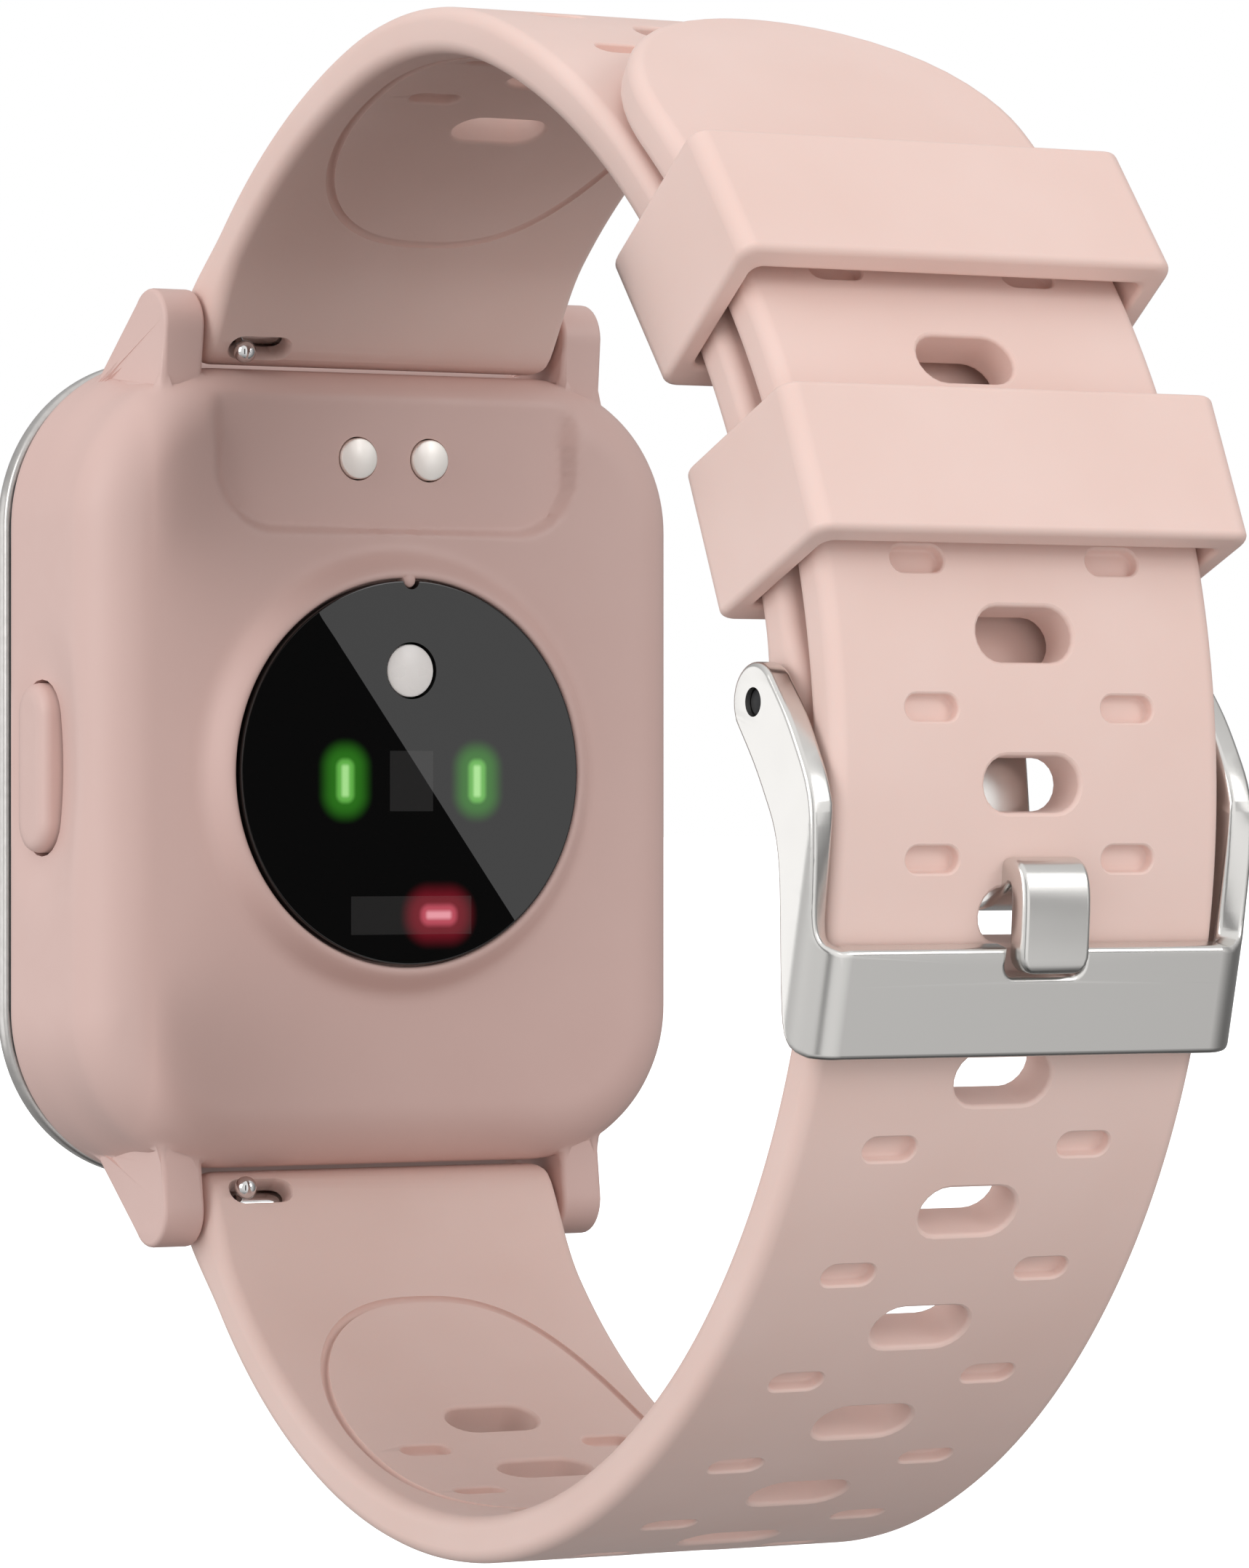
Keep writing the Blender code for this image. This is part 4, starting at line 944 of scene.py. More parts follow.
case_shell = case_skin()
print("case skin:", len(case_shell.data.polygons), "faces")


# %% [markdown]
# Four lugs hold the spring bars. Each is a rounded plate: a flat outline filled as a curve whose bevel
# rounds its rim. They are joined to the shell, and the creases where they meet it are relaxed into a small
# cove.


# %% Plates from outlines
def plate(name, outline, x, rim, steps=3):
    """A flat piece with a rounded rim: (Y, Z) points filled and thickened across X."""
    flat = line_of(name, [(across, up, 0) for across, up in outline], cyclic=True, dimensions="2D")
    flat.data.fill_mode = "BOTH"
    flat.data.extrude = (x[1] - x[0]) / 2 - rim
    flat.data.bevel_depth = rim
    flat.data.bevel_resolution = steps
    flat.data.offset = -rim
    bm = opened(baked(flat))
    stand = Matrix(((0, 0, 1, (x[0] + x[1]) / 2), (1, 0, 0, 0), (0, 1, 0, 0), (0, 0, 0, 1)))
    bmesh.ops.transform(bm, matrix=stand, verts=bm.verts)
    bmesh.ops.remove_doubles(bm, verts=bm.verts, dist=1e-6)
    return store(name, bm, 50)


LUG_X = (11.2 * MM, 13.65 * MM)
LUG_RADIUS = 2.0 * MM
LUG_RIM = 0.25 * MM


def lug(side, end):
    tip = arc((BAR_Y, BAR_Z), LUG_RADIUS, -10, 140, 14)
    foot = [(-33.0 * MM, 20.6 * MM), (-33.0 * MM, 19.2 * MM), (-24.6 * MM, 19.2 * MM)]
    outline = [(y, z * end) for y, z in tip + foot]
    return plate("lug", outline, sorted(side * x for x in LUG_X), LUG_RIM)


for side in (1, -1):
    for end in (1, -1):
        case_shell = with_tool(case_shell, lug(side, end), "UNION")
print("shell with lugs:", len(case_shell.data.polygons), "faces")


# %% Holes and the small key in the window ring
CONTACT_X, CONTACT_Z = 2.22 * MM, 16.86 * MM
KEY_Z = WINDOW_Z + WINDOW_RADIUS + 0.02 * MM


def drilled(obj):
    """Cuts the contact holes, the button's slot and the bar tips' holes."""
    tools = []
    for x in (CONTACT_X, -CONTACT_X):
        tools.append(drill("contact_hole", 3 * MM, 1.2 * MM, (x, -23.5 * MM, CONTACT_Z), Y_AXIS))
    for side in (1, -1):
        for end in (1, -1):
            place = (side * 11.7 * MM, BAR_Y, end * BAR_Z)
            tools.append(drill("tip_hole", 0.9 * MM, 0.6 * MM, place, X_AXIS, 24))
    outline = [(BUTTON_Y + y, z) for z, y in capsule(2.9 * MM, 1.9 * MM)]
    slot = [[(x, y, z) for y, z in outline] for x in (15.5 * MM, 20 * MM)]
    tools.append(store("button_slot", ring_mesh(slot)))
    return with_tool(obj, joined("drills", tools))


def relaxed(obj, near, turns=2):
    """Softens the creases that a test picks out, by moving each point towards its neighbours' middle."""
    name = obj.name
    bm = opened(obj)
    bm.normal_update()
    crease = {v for e in bm.edges if len(e.link_faces) == 2 and e.calc_face_angle() > radians(28) and near(e)
              for v in e.verts}
    band = sorted(crease, key=lambda v: v.index)
    for _ in range(turns):
        bmesh.ops.smooth_vert(bm, verts=band, factor=0.5, use_axis_x=True, use_axis_y=True, use_axis_z=True)
    return store(name, bm, 50)


def at_lug_foot(edge):
    """Whether an edge lies where a lug meets the shell."""
    middle = (edge.verts[0].co + edge.verts[1].co) / 2
    beside = 10.7 * MM < abs(middle.x) < 13.8 * MM
    return beside and 18 * MM < abs(middle.z) < 22.3 * MM and middle.y > -33 * MM


case_shell = relaxed(case_shell, at_lug_foot)
case_shell = drilled(case_shell)
key = turned("key", [(0, 0.40 * MM), (0.62 * MM, 0.40 * MM), (0.72 * MM, 0.30 * MM)],
             (0, -22.2 * MM, KEY_Z), Y_AXIS, 32)
case_shell = with_tool(case_shell, key, "UNION")
case_shell = shaded(case_shell, 55)
hand_over(case_shell, CASE_PINK, "case", "cover_plastic", "rear_cover")

# %% [markdown]
# ## Window, contacts and front
# The window is a disc with a ground edge, a hole for the temperature disc and a notch for the key. The
# contacts and the temperature disc are turned. On the front a painted rim holds the cover glass, which has
# a rounded edge.

# %% The sensor window and what shows in it
WINDOW_TOP = -21.28 * MM
DOT_Z = 5.3 * MM
DISC_PROFILE = [(-0.87 * MM, WINDOW_RADIUS), (-0.10 * MM, WINDOW_RADIUS),
                (-0.03 * MM, WINDOW_RADIUS - 0.03 * MM), (0, WINDOW_RADIUS - 0.10 * MM)]
window = turned("sensor_window_glass", DISC_PROFILE, (0, WINDOW_TOP, WINDOW_Z), Y_AXIS, 160, 30)
cuts = [drill("dot_hole", 2 * MM, 1.55 * MM, (0, WINDOW_TOP, DOT_Z), Y_AXIS, 64),
        drill("notch", 2 * MM, 0.5 * MM, (0, WINDOW_TOP, KEY_Z), Y_AXIS, 40)]
window = shaded(with_tool(window, joined("window_cuts", cuts)), 30)
hand_over(window, SENSOR_GLASS, "case", "black_glass", "sensor_window")

DOT_PROFILE = [(-1.6 * MM, 1.45 * MM), (-0.16 * MM, 1.45 * MM), (-0.05 * MM, 1.42 * MM), (0, 1.34 * MM)]
dot = turned("temperature_disc", DOT_PROFILE, (0, WINDOW_TOP - 0.10 * MM, DOT_Z), Y_AXIS, 64)
hand_over(dot, CERAMIC, "case", "ceramic_white", "temperature_sensor")
CONTACT_PROFILE = [(-2.0 * MM, 1.12 * MM), (-0.14 * MM, 1.12 * MM), (-0.04 * MM, 1.08 * MM), (0, 1.0 * MM)]
for word, x in (("right", CONTACT_X), ("left", -CONTACT_X)):
    contact = turned(f"contact_{word}", CONTACT_PROFILE, (x, -23.04 * MM, CONTACT_Z), Y_AXIS, 64)
    hand_over(contact, CONTACT, "case", "bright_steel", f"charging_contact_{word}")


# %% The painted rim and the cover glass
def loop_of(name, levels, closed, sharp=40):
    """Rings of the case's outline at (inset, y) levels."""
    return store(name, ring_mesh([case_ring(y * MM, inset * MM) for inset, y in levels], closed), sharp)


RIM_LEVELS = ((1.3, -34.1), (1.3, -35.1), (1.2, -35.2), (0.35, -35.2), (0.16, -35.15), (0.04, -35.02),
              (0, -34.85), (0, -34.25), (0.04, -34.12), (0.15, -34.04), (0.4, -34.0), (1.2, -34.0))
GLASS_LEVELS = ((1.6, -34.6), (1.5, -34.7), (1.5, -34.95), (1.56, -35.18), (1.75, -35.36), (2.05, -35.46),
                (2.4, -35.5))
rim = loop_of("silver_rim", RIM_LEVELS, True)
hand_over(shaded(rim), SILVER, "case", "silver_rim", "front_frame")
glass = loop_of("cover_glass", GLASS_LEVELS, False)
hand_over(shaded(glass), FRONT_GLASS, "case", "black_glass", "touch_glass")

# %% [markdown]
# The button is a pill with a rounded face. It rides on its own body, because it travels when pressed.


# %% Button
BUTTON_LEVELS = ((16.6, 0.0), (18.15, 0.0), (18.38, 0.05), (18.55, 0.16), (18.67, 0.34), (18.73, 0.6),
                 (18.75, 1.0))


def pill():
    """The button's cap: pill outlines at (X, inset) levels in millimetres."""
    rings = []
    for x, inset in BUTTON_LEVELS:
        outline = capsule(2.9 * MM, (1.7 - inset) * MM, 16)
        rings.append([(x * MM, BUTTON_Y + y, z) for z, y in outline])
    return store("button_cap", ring_mesh(rings), 50)


hand_over(shaded(pill(), 50), BUTTON_PINK, "button", "button_plastic", "side_button")

# %% [markdown]
# ## Keepers
# Two rubber loops hold the strap's free end. Each is one closed loop of rings: from the outer rounded
# rectangle, round its rim, across the end face, through the inner rectangle and back.

# %% The keeper loops
KEEPER_HALF_HEIGHT = 3.9 * MM
KEEPER_HALF_WIDTH = 12.4 * MM
KEEPER_WALL = (1.2 * MM, 1.5 * MM)
KEEPER_CORNERS = (0.9 * MM, 0.6 * MM)
KEEPER_RIM = 0.38 * MM
KEEPER_INNER_RIM = 0.3 * MM


def round_box(half_x, y, corner, steps=8):
    """A rounded rectangle between two Y limits, as (X, Y) points."""
    middle, half_y = sum(y) / 2, (y[1] - y[0]) / 2
    points = []
    for start, (sx, sy) in zip((0, 90, 180, 270), ((1, 1), (-1, 1), (-1, -1), (1, -1))):
        centre = (sx * (half_x - corner), middle + sy * (half_y - corner))
        points += arc(centre, corner, start, start + 90, steps)
    return points


def keeper(name, angle, along, inner, outer):
    """A keeper turned by an angle about X: its place along the strap and its inner and outer faces."""
    outline = round_box(KEEPER_HALF_WIDTH, (inner, outer), KEEPER_CORNERS[0])
    hole = round_box(KEEPER_HALF_WIDTH - KEEPER_WALL[0], (inner + KEEPER_WALL[1], outer - KEEPER_WALL[1]),
                     KEEPER_CORNERS[1])
    wall = sum(KEEPER_WALL) / 2
    levels = []
    for turn in range(0, 91, 15):
        a = radians(turn)
        levels.append((KEEPER_RIM * (1 - cos(a)) / wall, KEEPER_HALF_HEIGHT - KEEPER_RIM * (1 - sin(a))))
    for turn in range(0, 91, 30):
        a = radians(turn)
        inset = wall - KEEPER_INNER_RIM * (1 - sin(a))
        levels.append((inset / wall, KEEPER_HALF_HEIGHT - KEEPER_INNER_RIM * (1 - cos(a))))
    levels += [(share, -height) for share, height in reversed(levels)]
    tilt = Matrix.Rotation(radians(angle), 4, "X")
    rings = []
    for share, height in levels:
        ring = [(x0 + (x1 - x0) * share, y0 + (y1 - y0) * share) for (x0, y0), (x1, y1) in zip(outline, hole)]
        rings.append([tilt @ Vector((x, y, along + height)) for x, y in ring])
    return shaded(store(name, ring_mesh(rings, closed=True), 50), 50)


upper_keeper = keeper("upper_keeper_loop", 38.5, 2.2 * MM, 31.1 * MM, 41.2 * MM)
hand_over(upper_keeper, SILICONE, "upper_loop", "silicone", "upper_keeper")
lower_keeper = keeper("lower_keeper_loop", 24.0, -2.4 * MM, 30.6 * MM, 40.8 * MM)
hand_over(lower_keeper, SILICONE, "lower_loop", "silicone", "lower_keeper")

# %% [markdown]
# ## Buckle
# The real buckle is stamped flat from sheet steel, its edges are tumbled round, and it is bent at two
# corners. It is made the same way here: a flat plate with a rounded rim, cut across at the corners, and
# then bent by formula.

# %% Buckle sizes
PIN_YZ = (34.300 * MM, 2.823 * MM)
PIN_RADIUS = 0.65 * MM
BUCKLE_X = (11.2 * MM, 12.6 * MM)
BUCKLE_CORNER = 2.1 * MM
BAR_TOP = Vector((39.85 * MM, -8.80 * MM))
BAR_BOTTOM = Vector((38.60 * MM, -14.00 * MM))
BAR_THICKNESS = 1.3 * MM
BEND_CUTS = 14
PLATE_RIM = 0.28 * MM
NOTCH = (4.4 * MM, 1.4 * MM)
TONGUE_SHIFT = -0.35 * MM


def flowing(points, steps=5, closed=False):
    """A Catmull-Rom curve through points of any dimension."""
    points = [Vector(p) for p in points]
    last = len(points) - 1
    result = []
    for i in range(last + (1 if closed else 0)):
        p1, p2 = points[i], points[(i + 1) % len(points)]
        p0 = points[i - 1] if i or closed else p1
        p3 = points[(i + 2) % len(points)] if i + 2 <= last or closed else p2
        for k in range(steps):
            t = k / steps
            result.append(0.5 * (2 * p1 + (p2 - p0) * t + (2 * p0 - 5 * p1 + 4 * p2 - p3) * t**2
                                 + (3 * p1 - p0 - 3 * p2 + p3) * t**3))
    return result if closed else result + [points[-1]]


# %% The flat pattern and the bend
UP = (BAR_TOP - BAR_BOTTOM).normalized()
INWARD = Vector((-UP.y, UP.x))
BEND_LENGTH = BUCKLE_CORNER * pi / 2
STRAIGHT_HALF = BUCKLE_X[1] - BUCKLE_CORNER


def unfolded(point):
    """An arm's (Y, Z) point on the flat pattern: distance from the middle, height above the bar's top."""
    depth = (Vector(point) - BAR_TOP).dot(INWARD)
    height = (Vector(point) - BAR_TOP).dot(UP)
    if depth < BUCKLE_CORNER:
        return STRAIGHT_HALF + BUCKLE_CORNER * acos(1 - max(depth, 0) / BUCKLE_CORNER), height
    return STRAIGHT_HALF + BEND_LENGTH + depth - BUCKLE_CORNER, height


def bent(point):
    """A point of the flat plate, (thickness, along, height), taken round the corner."""
    inner, along, height = point
    turn = min(max((abs(along) - STRAIGHT_HALF) / BUCKLE_CORNER, 0), pi / 2)
    beyond = max(abs(along) - STRAIGHT_HALF - BEND_LENGTH, 0)
    straight = min(abs(along), STRAIGHT_HALF)
    radius = BUCKLE_CORNER + inner
    x = copysign(straight + radius * sin(turn), along)
    flat = BAR_TOP + INWARD * (BUCKLE_CORNER - radius * cos(turn) + beyond) + UP * height
    return Vector((x, flat.x, flat.y))


def buckle_outline():
    """The flat pattern: the bar with its notch, and an arm at each end with a round eye."""
    y, z = PIN_YZ
    eye = arc((y, z), 1.9 * MM, 35, 215, 16)
    outer = [(39.75, -8.85), (39.42, -8.55), (39.22, -8.05), (39.2, -7.2), (39.38, -5.6), (39.52, -4.0),
             (39.5, -2.4), (39.1, -0.9), (38.3, 0.6), (37.2, 2.3)]
    wrist = [(34.1, 0.0), (35.2, -1.7), (36.0, -3.2), (36.4, -5.0), (36.5, -7.4), (36.55, -10.0),
             (36.7, -12.2), (37.2, -13.35), (38.05, -13.9)]
    side = [(a * MM, b * MM) for a, b in outer] + eye + [(a * MM, b * MM) for a, b in wrist]
    side = flowing([unfolded(p) for p in side], 3)
    bottom = (BAR_BOTTOM - BAR_TOP).dot(UP)
    right = [(STRAIGHT_HALF, 0.0)] + [tuple(p) for p in side] + [(STRAIGHT_HALF, bottom)]
    left = [(-u, v) for u, v in reversed(right)]
    half, deep, round_off = NOTCH[0] / 2, NOTCH[1], 0.6 * MM
    notch = [(-half, 0.0)] + arc((round_off - half, round_off - deep), round_off, 180, 270, 6)
    notch += arc((half - round_off, round_off - deep), round_off, 270, 360, 6) + [(half, 0.0)]
    return right + left + [(u + TONGUE_SHIFT, v) for u, v in notch]


def buckle():
    """The flat plate, cut across along its two bends, bent and drilled for the pin."""
    bm = opened(plate("flat_buckle", buckle_outline(), (-BAR_THICKNESS, 0.0), PLATE_RIM, 4))
    for side in (1, -1):
        for k in range(BEND_CUTS + 1):
            cut = Vector((0, side * (STRAIGHT_HALF + BEND_LENGTH * k / BEND_CUTS), 0))
            everything = bm.verts[:] + bm.edges[:] + bm.faces[:]
            bmesh.ops.bisect_plane(bm, geom=everything, dist=1e-7, plane_co=cut, plane_no=(0, 1, 0))
    for vertex in bm.verts:
        vertex.co = bent(vertex.co)
    body = store("buckle_body", bm, 50)
    hole = drill("pin_hole", 20 * MM, PIN_RADIUS + 0.05 * MM, (0, *PIN_YZ), X_AXIS)
    return shaded(with_tool(body, hole), 50)


buckle_body = buckle()
hand_over(buckle_body, STEEL, "buckle", "satin_steel", "buckle_frame")
AXLE_PROFILE = [(-12.4 * MM, 0.5 * MM), (-12.3 * MM, PIN_RADIUS), (12.3 * MM, PIN_RADIUS),
                (12.4 * MM, 0.5 * MM)]
buckle_axle = turned("buckle_axle", AXLE_PROFILE, (0, *PIN_YZ), X_AXIS, 36)
# The pin takes the near-black painted shade of the notch behind the tongue, not its own bright steel.
hand_over(buckle_axle, PIN_PAINTED_SHADE, "upper_strap", "bright_steel", "buckle_pin")

# %% [markdown]
# The tongue is a bent strip with rounded edges: one rounded section swept along a smooth line, wrapped
# round the pin at one end and closed with a rounded tip at the other.

# %% Tongue
TONGUE_HALF = (1.95 * MM, 0.65 * MM)
TONGUE_EASE = 0.32 * MM
TONGUE_TIP = 0.9 * MM
EYE_PROFILE = [(-1.75 * MM, 1.25 * MM), (-1.6 * MM, 1.4 * MM), (1.6 * MM, 1.4 * MM), (1.75 * MM, 1.25 * MM)]
TONGUE_LINE = ((34.30, 2.82), (34.65, 0.60), (34.95, -2.00), (35.15, -4.20), (35.50, -5.60), (36.20, -6.35),
               (37.20, -6.25), (38.30, -5.75), (39.15, -5.15), (39.85, -5.30), (40.14, -6.20), (40.06, -8.20),
               (39.88, -9.95))


def tongue():
    """The strip's sections along its line, thinned at the tip, with the eye joined on and bored."""
    line = [Vector((0, y * MM, z * MM)) for y, z in TONGUE_LINE]
    path = flowing(line, 6)
    tip = path[-1] - path[-2]
    path = path[:-1] + [path[-1] - tip * (1 - k / 6) for k in range(1, 7)]
    rings = []
    last = len(path) - 1
    for i, point in enumerate(path):
        run = path[min(i + 1, last)] - path[max(i - 1, 0)]
        across = Vector((0, run.z, -run.y)).normalized()
        left = (path[-1] - point).length
        near = 1 - min(left / TONGUE_TIP, 1.0)
        narrow = TONGUE_TIP * (1 - sqrt(max(1 - near**2, 0)))
        thin = TONGUE_EASE * (1 - min(left / TONGUE_EASE, 1.0)) ** 2
        outline = round_box(TONGUE_HALF[0] - narrow, (thin - TONGUE_HALF[1], TONGUE_HALF[1] - thin),
                            TONGUE_EASE - thin * 0.9, 4)
        rings.append([point + Vector((x + TONGUE_SHIFT, 0, 0)) + across * y for x, y in outline])
    piece = store("buckle_prong", ring_mesh(rings))
    piece = with_tool(piece, turned("eye", EYE_PROFILE, (0, *PIN_YZ), X_AXIS, 40), "UNION")
    bore = drill("eye_bore", 3 * MM, 0.8 * MM, (0, *PIN_YZ), X_AXIS, 40)
    return shaded(with_tool(piece, bore), 45)


hand_over(tongue(), STEEL, "tongue", "satin_steel", "buckle_tongue")

# %% [markdown]
# ## Quick-release bars
# Each bar is a thin tube with a fixed tip and a sprung tip. The small ball on the sprung tip is what a
# fingernail slides along the slot, so it is polished and shows as a bright bead.

# %% Bars and release knobs
KNOB_X = 8.7 * MM
KNOB_REACH = 2.25 * MM
KNOB_BALL = 0.62 * MM
TIP_PROFILE = [(6.4 * MM, 0.42 * MM), (12.05 * MM, 0.42 * MM), (12.2 * MM, 0.30 * MM)]


def bar_tube(name, z):
    """The hollow tube of a spring bar, as one closed loop of rings."""
    outer = [(-10.4, 0.70), (-10.3, 0.80), (10.3, 0.80), (10.4, 0.70)]
    inner = [(10.4, 0.56), (-10.4, 0.56)]
    rings = []
    for x, radius in outer + inner:
        turns = [2 * pi * k / 32 for k in range(32)]
        rings.append([(x * MM, BAR_Y + radius * MM * cos(a), z + radius * MM * sin(a)) for a in turns])
    return store(name, ring_mesh(rings, closed=True), 40)


def release_pin(name, z, heading):
    """The sprung tip with its stem and ball, which points towards the wrist side of the strap."""
    side = 1 if z > 0 else -1
    inward = Vector((0, cos(radians(heading)), -side * sin(radians(heading))))
    axis = Vector((0, BAR_Y, z))
    knob = axis + Vector((KNOB_X, 0, 0)) + inward * KNOB_REACH
    pin = turned(name, TIP_PROFILE, axis, X_AXIS, 32)
    foot = axis + Vector((KNOB_X, 0, 0))
    stem = turned("stem", [(0, 0.28 * MM), (KNOB_REACH, 0.28 * MM)], foot, inward, 24)
    ball = bmesh.new()
    bmesh.ops.create_uvsphere(ball, u_segments=40, v_segments=24, radius=KNOB_BALL,
                              matrix=Matrix.Translation(knob))
    pin = with_tool(pin, stem, "UNION")
    return shaded(with_tool(pin, store("ball", ball), "UNION"), 50)


for word, z, heading in (("upper", BAR_Z, UPPER_PATH[0]), ("lower", -BAR_Z, LOWER_PATH[0])):
    hand_over(bar_tube(f"{word}_tube", z), BRIGHT, f"{word}_strap", "bright_steel", f"{word}_bar_tube")
    knob = release_pin(f"{word}_release_knob", z, heading)
    hand_over(knob, BRIGHT, f"{word}_release", "bright_steel", f"{word}_release_pin")

# %% [markdown]
# ## Studio
# The set is a white light table in a bright room. A long lens looks from a little to the button's side,
# level with the case. Large soft lights give the strap its even glow, and darker cards give the steel
# something to reflect.

# %% Floor and world
BAND_REACH = 60 * MM  # an opened lower strap hangs this far below the closed loop
TABLE_Z = min(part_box("long_band")[0].z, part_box("rear_cover")[0].z) - BAND_REACH
TABLE_HALF = 20.0
TABLE_GLOW = 0.80


def glowing(shader, strength):
    """Lets a surface give off plain white light."""
    shader.inputs["Emission Color"].default_value = (1, 1, 1, 1)
    shader.inputs["Emission Strength"].default_value = strength


def light_table():
    """A pale floor, lit from below, which only the lens sees."""
    bm = bmesh.new()
    there = Matrix.Translation((0, 0, TABLE_Z))
    bmesh.ops.create_grid(bm, x_segments=1, y_segments=1, size=TABLE_HALF, matrix=there)
    floor = store("light_table", bm, outward=False)
    material, tree, shader, place = finish("white_acrylic", "F6F6F6", 0.6)
    mottle(tree, shader, place, 0.2, 0.55, 0.65, "Roughness")
    glowing(shader, TABLE_GLOW)
    floor.data.materials.append(material)
    floor.visible_diffuse = floor.visible_glossy = floor.visible_shadow = False


light_table()
# Brightness of the room seen towards +X, -X, +Y, -Y, +Z and -Z.
ROOM_SIDES = (0.76, 0.16, 1.06, 0.36, 0.94, 0.04)


def bright_room(sides):
    """A white world whose strength blends between its six sides. The lens itself sees plain white."""
    world = bpy.data.worlds.new("bright_room")
    bpy.context.scene.world = world
    world.use_nodes = True
    sky = world.node_tree
    direction = add(sky, "ShaderNodeTexCoord").outputs["Generated"]
    split = add(sky, "ShaderNodeSeparateXYZ", Vector=direction)
    total = None
    for index, strength in enumerate(sides):
        towards = add(sky, "ShaderNodeMath", {"operation": "MULTIPLY"}, _0=split.outputs[index // 2],
                      _1=-1.0 if index % 2 else 1.0)
        facing = add(sky, "ShaderNodeMath", {"operation": "MAXIMUM"}, _0=towards.outputs[0], _1=0.0)
        share = add(sky, "ShaderNodeMath", {"operation": "POWER"}, _0=facing.outputs[0], _1=2.0)
        light = add(sky, "ShaderNodeMath", {"operation": "MULTIPLY"}, _0=share.outputs[0], _1=strength)
        total = add(sky, "ShaderNodeMath", {"operation": "ADD"}, _0=light.outputs[0],
                    _1=total.outputs[0] if total else 0.0)
    background = sky.nodes["Background"]
    background.inputs["Color"].default_value = (1, 1, 1, 1)
    sky.links.new(total.outputs[0], background.inputs["Strength"])
    seen = add(sky, "ShaderNodeBackground", Color=(1, 1, 1, 1), Strength=1.0)
    rays = add(sky, "ShaderNodeLightPath")
    mixed = add(sky, "ShaderNodeMixShader", _0=rays.outputs["Is Camera Ray"], _1=background.outputs[0],
                _2=seen.outputs[0])
    sky.links.new(mixed.outputs[0], sky.nodes["World Output"].inputs["Surface"])


bright_room(ROOM_SIDES)
bpy.context.scene.view_settings.view_transform = "Standard"


# %% Lights
def soft_light(name, place, size, power):
    """A rectangular lamp that points at the middle of the loop."""
    data = bpy.data.lights.new(name, "AREA")
    data.shape = "RECTANGLE"
    data.size, data.size_y = size
    data.energy = power
    light = placed(name, data)
    light.location = place
    light.rotation_euler = (-Vector(place)).to_track_quat("-Z", "Y").to_euler()


KEY_PLACE, KEY_SIZE, KEY_POWER = (-0.45, 0.80, 0.45), (0.4, 0.4), 1.6
SIDE_PLACE, SIDE_SIZE, SIDE_POWER = (0.90, 0.10, 0.30), (0.5, 0.6), 2.4
soft_light("key", KEY_PLACE, KEY_SIZE, KEY_POWER)
soft_light("side", SIDE_PLACE, SIDE_SIZE, SIDE_POWER)

# %% [markdown]
# A bright card off to the far side shows in the flat sensor glass. Its edge is what draws the straight
# diagonal across the window: the card is placed by mirroring the lens in the glass and looking out through
# two points of the window.

# %% The card in the glass
LENS = Vector((0.1943, 0.3275, -0.0021))
AIM = Vector((-0.5118, -0.8591, 0.0031))
EDGE_ON_GLASS = (Vector((5.9 * MM, WINDOW_TOP, 8.6 * MM)), Vector((-6.4 * MM, WINDOW_TOP, -8.2 * MM)))
CARD_DISTANCE = 0.60
CARD_REACH = 0.04
# Each card's name, its width to one side of the shared edge, and its brightness.
GLASS_CARDS = (("bright_card", 0.035, 1.35), ("dark_card", -0.035, 0.05))


def card(name, corners, strength):
    """A flat card that only reflections see."""
    bm = bmesh.new()
    bm.faces.new([bm.verts.new(c) for c in corners])
    sheet = store(name, bm, outward=False)
    material, _, shader, _ = finish(name, "020202", 0.9)
    shader.inputs["Specular IOR Level"].default_value = 0.0
    glowing(shader, strength)
    sheet.data.materials.append(material)
    sheet.visible_camera = sheet.visible_diffuse = sheet.visible_shadow = False
    return sheet


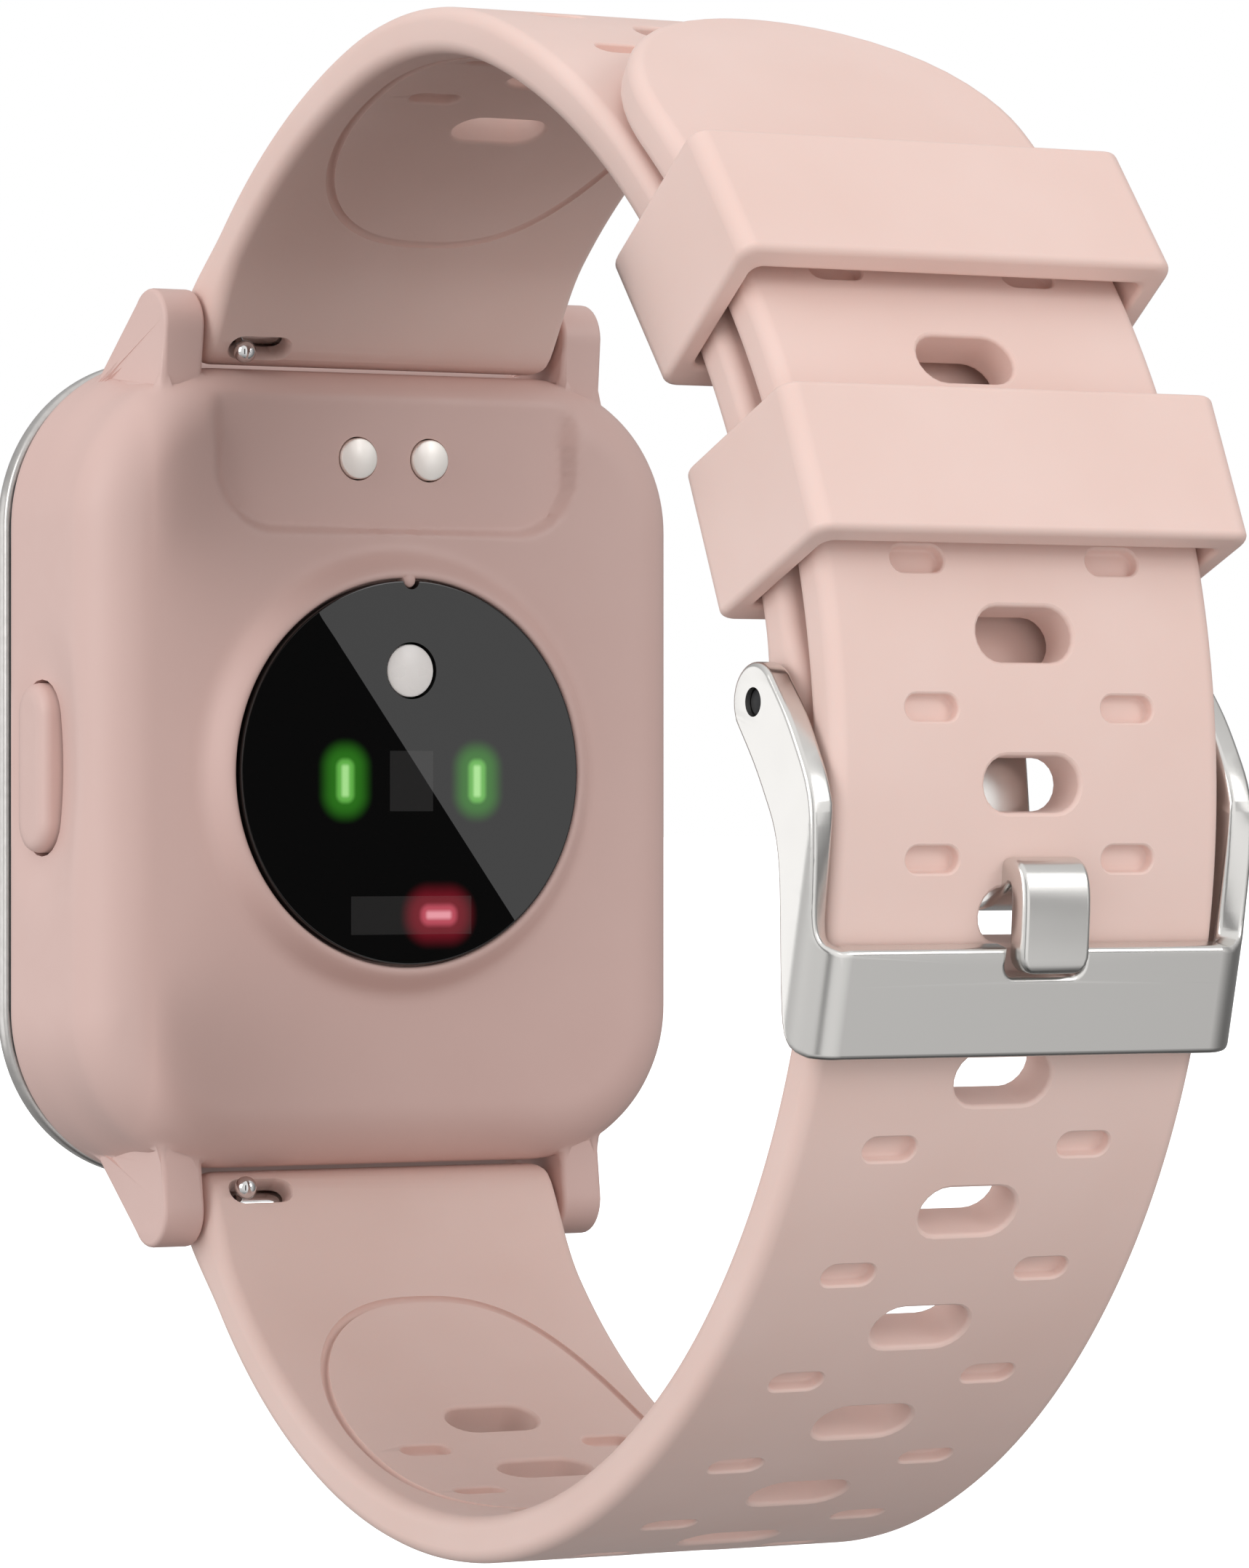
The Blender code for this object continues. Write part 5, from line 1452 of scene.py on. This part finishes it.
def glass_cards():
    """Two cards across the mirrored sight line, which meet on the line through the two points."""
    mirrored = Vector((LENS.x, 2 * WINDOW_TOP - LENS.y, LENS.z))
    ends = [mirrored + (p - mirrored) * (CARD_DISTANCE / (WINDOW_TOP - mirrored.y)) for p in EDGE_ON_GLASS]
    along = (ends[0] - ends[1]).normalized()
    middle = sum(ends, Vector()) / 2
    sideways = along.cross((middle - mirrored).normalized()).normalized()
    if sideways.x > 0:
        sideways = -sideways
    reach = along * CARD_REACH
    for name, width, strength in GLASS_CARDS:
        far = sideways * width
        card(name, [middle + reach, middle + reach + far, middle - reach + far, middle - reach], strength)


glass_cards()
ARM_CARD_PLACE = Vector((0.27, -0.40, -0.004))
ARM_CARD_CORNERS = ((-0.09, -0.12), (0.09, -0.12), (0.09, 0.12), (-0.09, 0.12))
card("arm_card", [ARM_CARD_PLACE + Vector((x, 0.6 * x, z)) for x, z in ARM_CARD_CORNERS], 1.35)

behind = LENS * 1.5
side = Vector((0.86, -0.51, 0)) * 0.07
up = Vector((0, 0, 0.30))
card("lens_card", [behind - side - up, behind + side - up, behind + side + up, behind - side + up], 0.12)

# %% [markdown]
# The inside of the loop is dimmer than the outside. Two black flags stand in the open side of the loop,
# above and below the case, as a studio would hang them. The lens and the reflections don't see them.

# %% Flags
FLAG_X = 15 * MM
FLAG_OUTLINE = ((-21, 12), (-19, 24), (-9, 31), (4, 33.5), (14, 31), (22, 25), (28, 12))
for word, end in (("upper", 1), ("lower", -1)):
    flag = card(f"{word}_flag", [(FLAG_X, y * MM, end * z * MM) for y, z in FLAG_OUTLINE], 0.0)
    flag.visible_diffuse = flag.visible_shadow = True
    flag.visible_glossy = False

# %% Camera
FOCAL_LENGTH, SENSOR_WIDTH = 168.5, 36.0
camera_data = bpy.data.cameras.new("camera")
camera_data.lens = FOCAL_LENGTH
camera_data.sensor_width = SENSOR_WIDTH
camera = placed("camera", camera_data)
camera.location = LENS
camera.rotation_euler = AIM.to_track_quat("-Z", "Y").to_euler()
bpy.context.scene.camera = camera
print("camera at", [round(v, 3) for v in LENS])
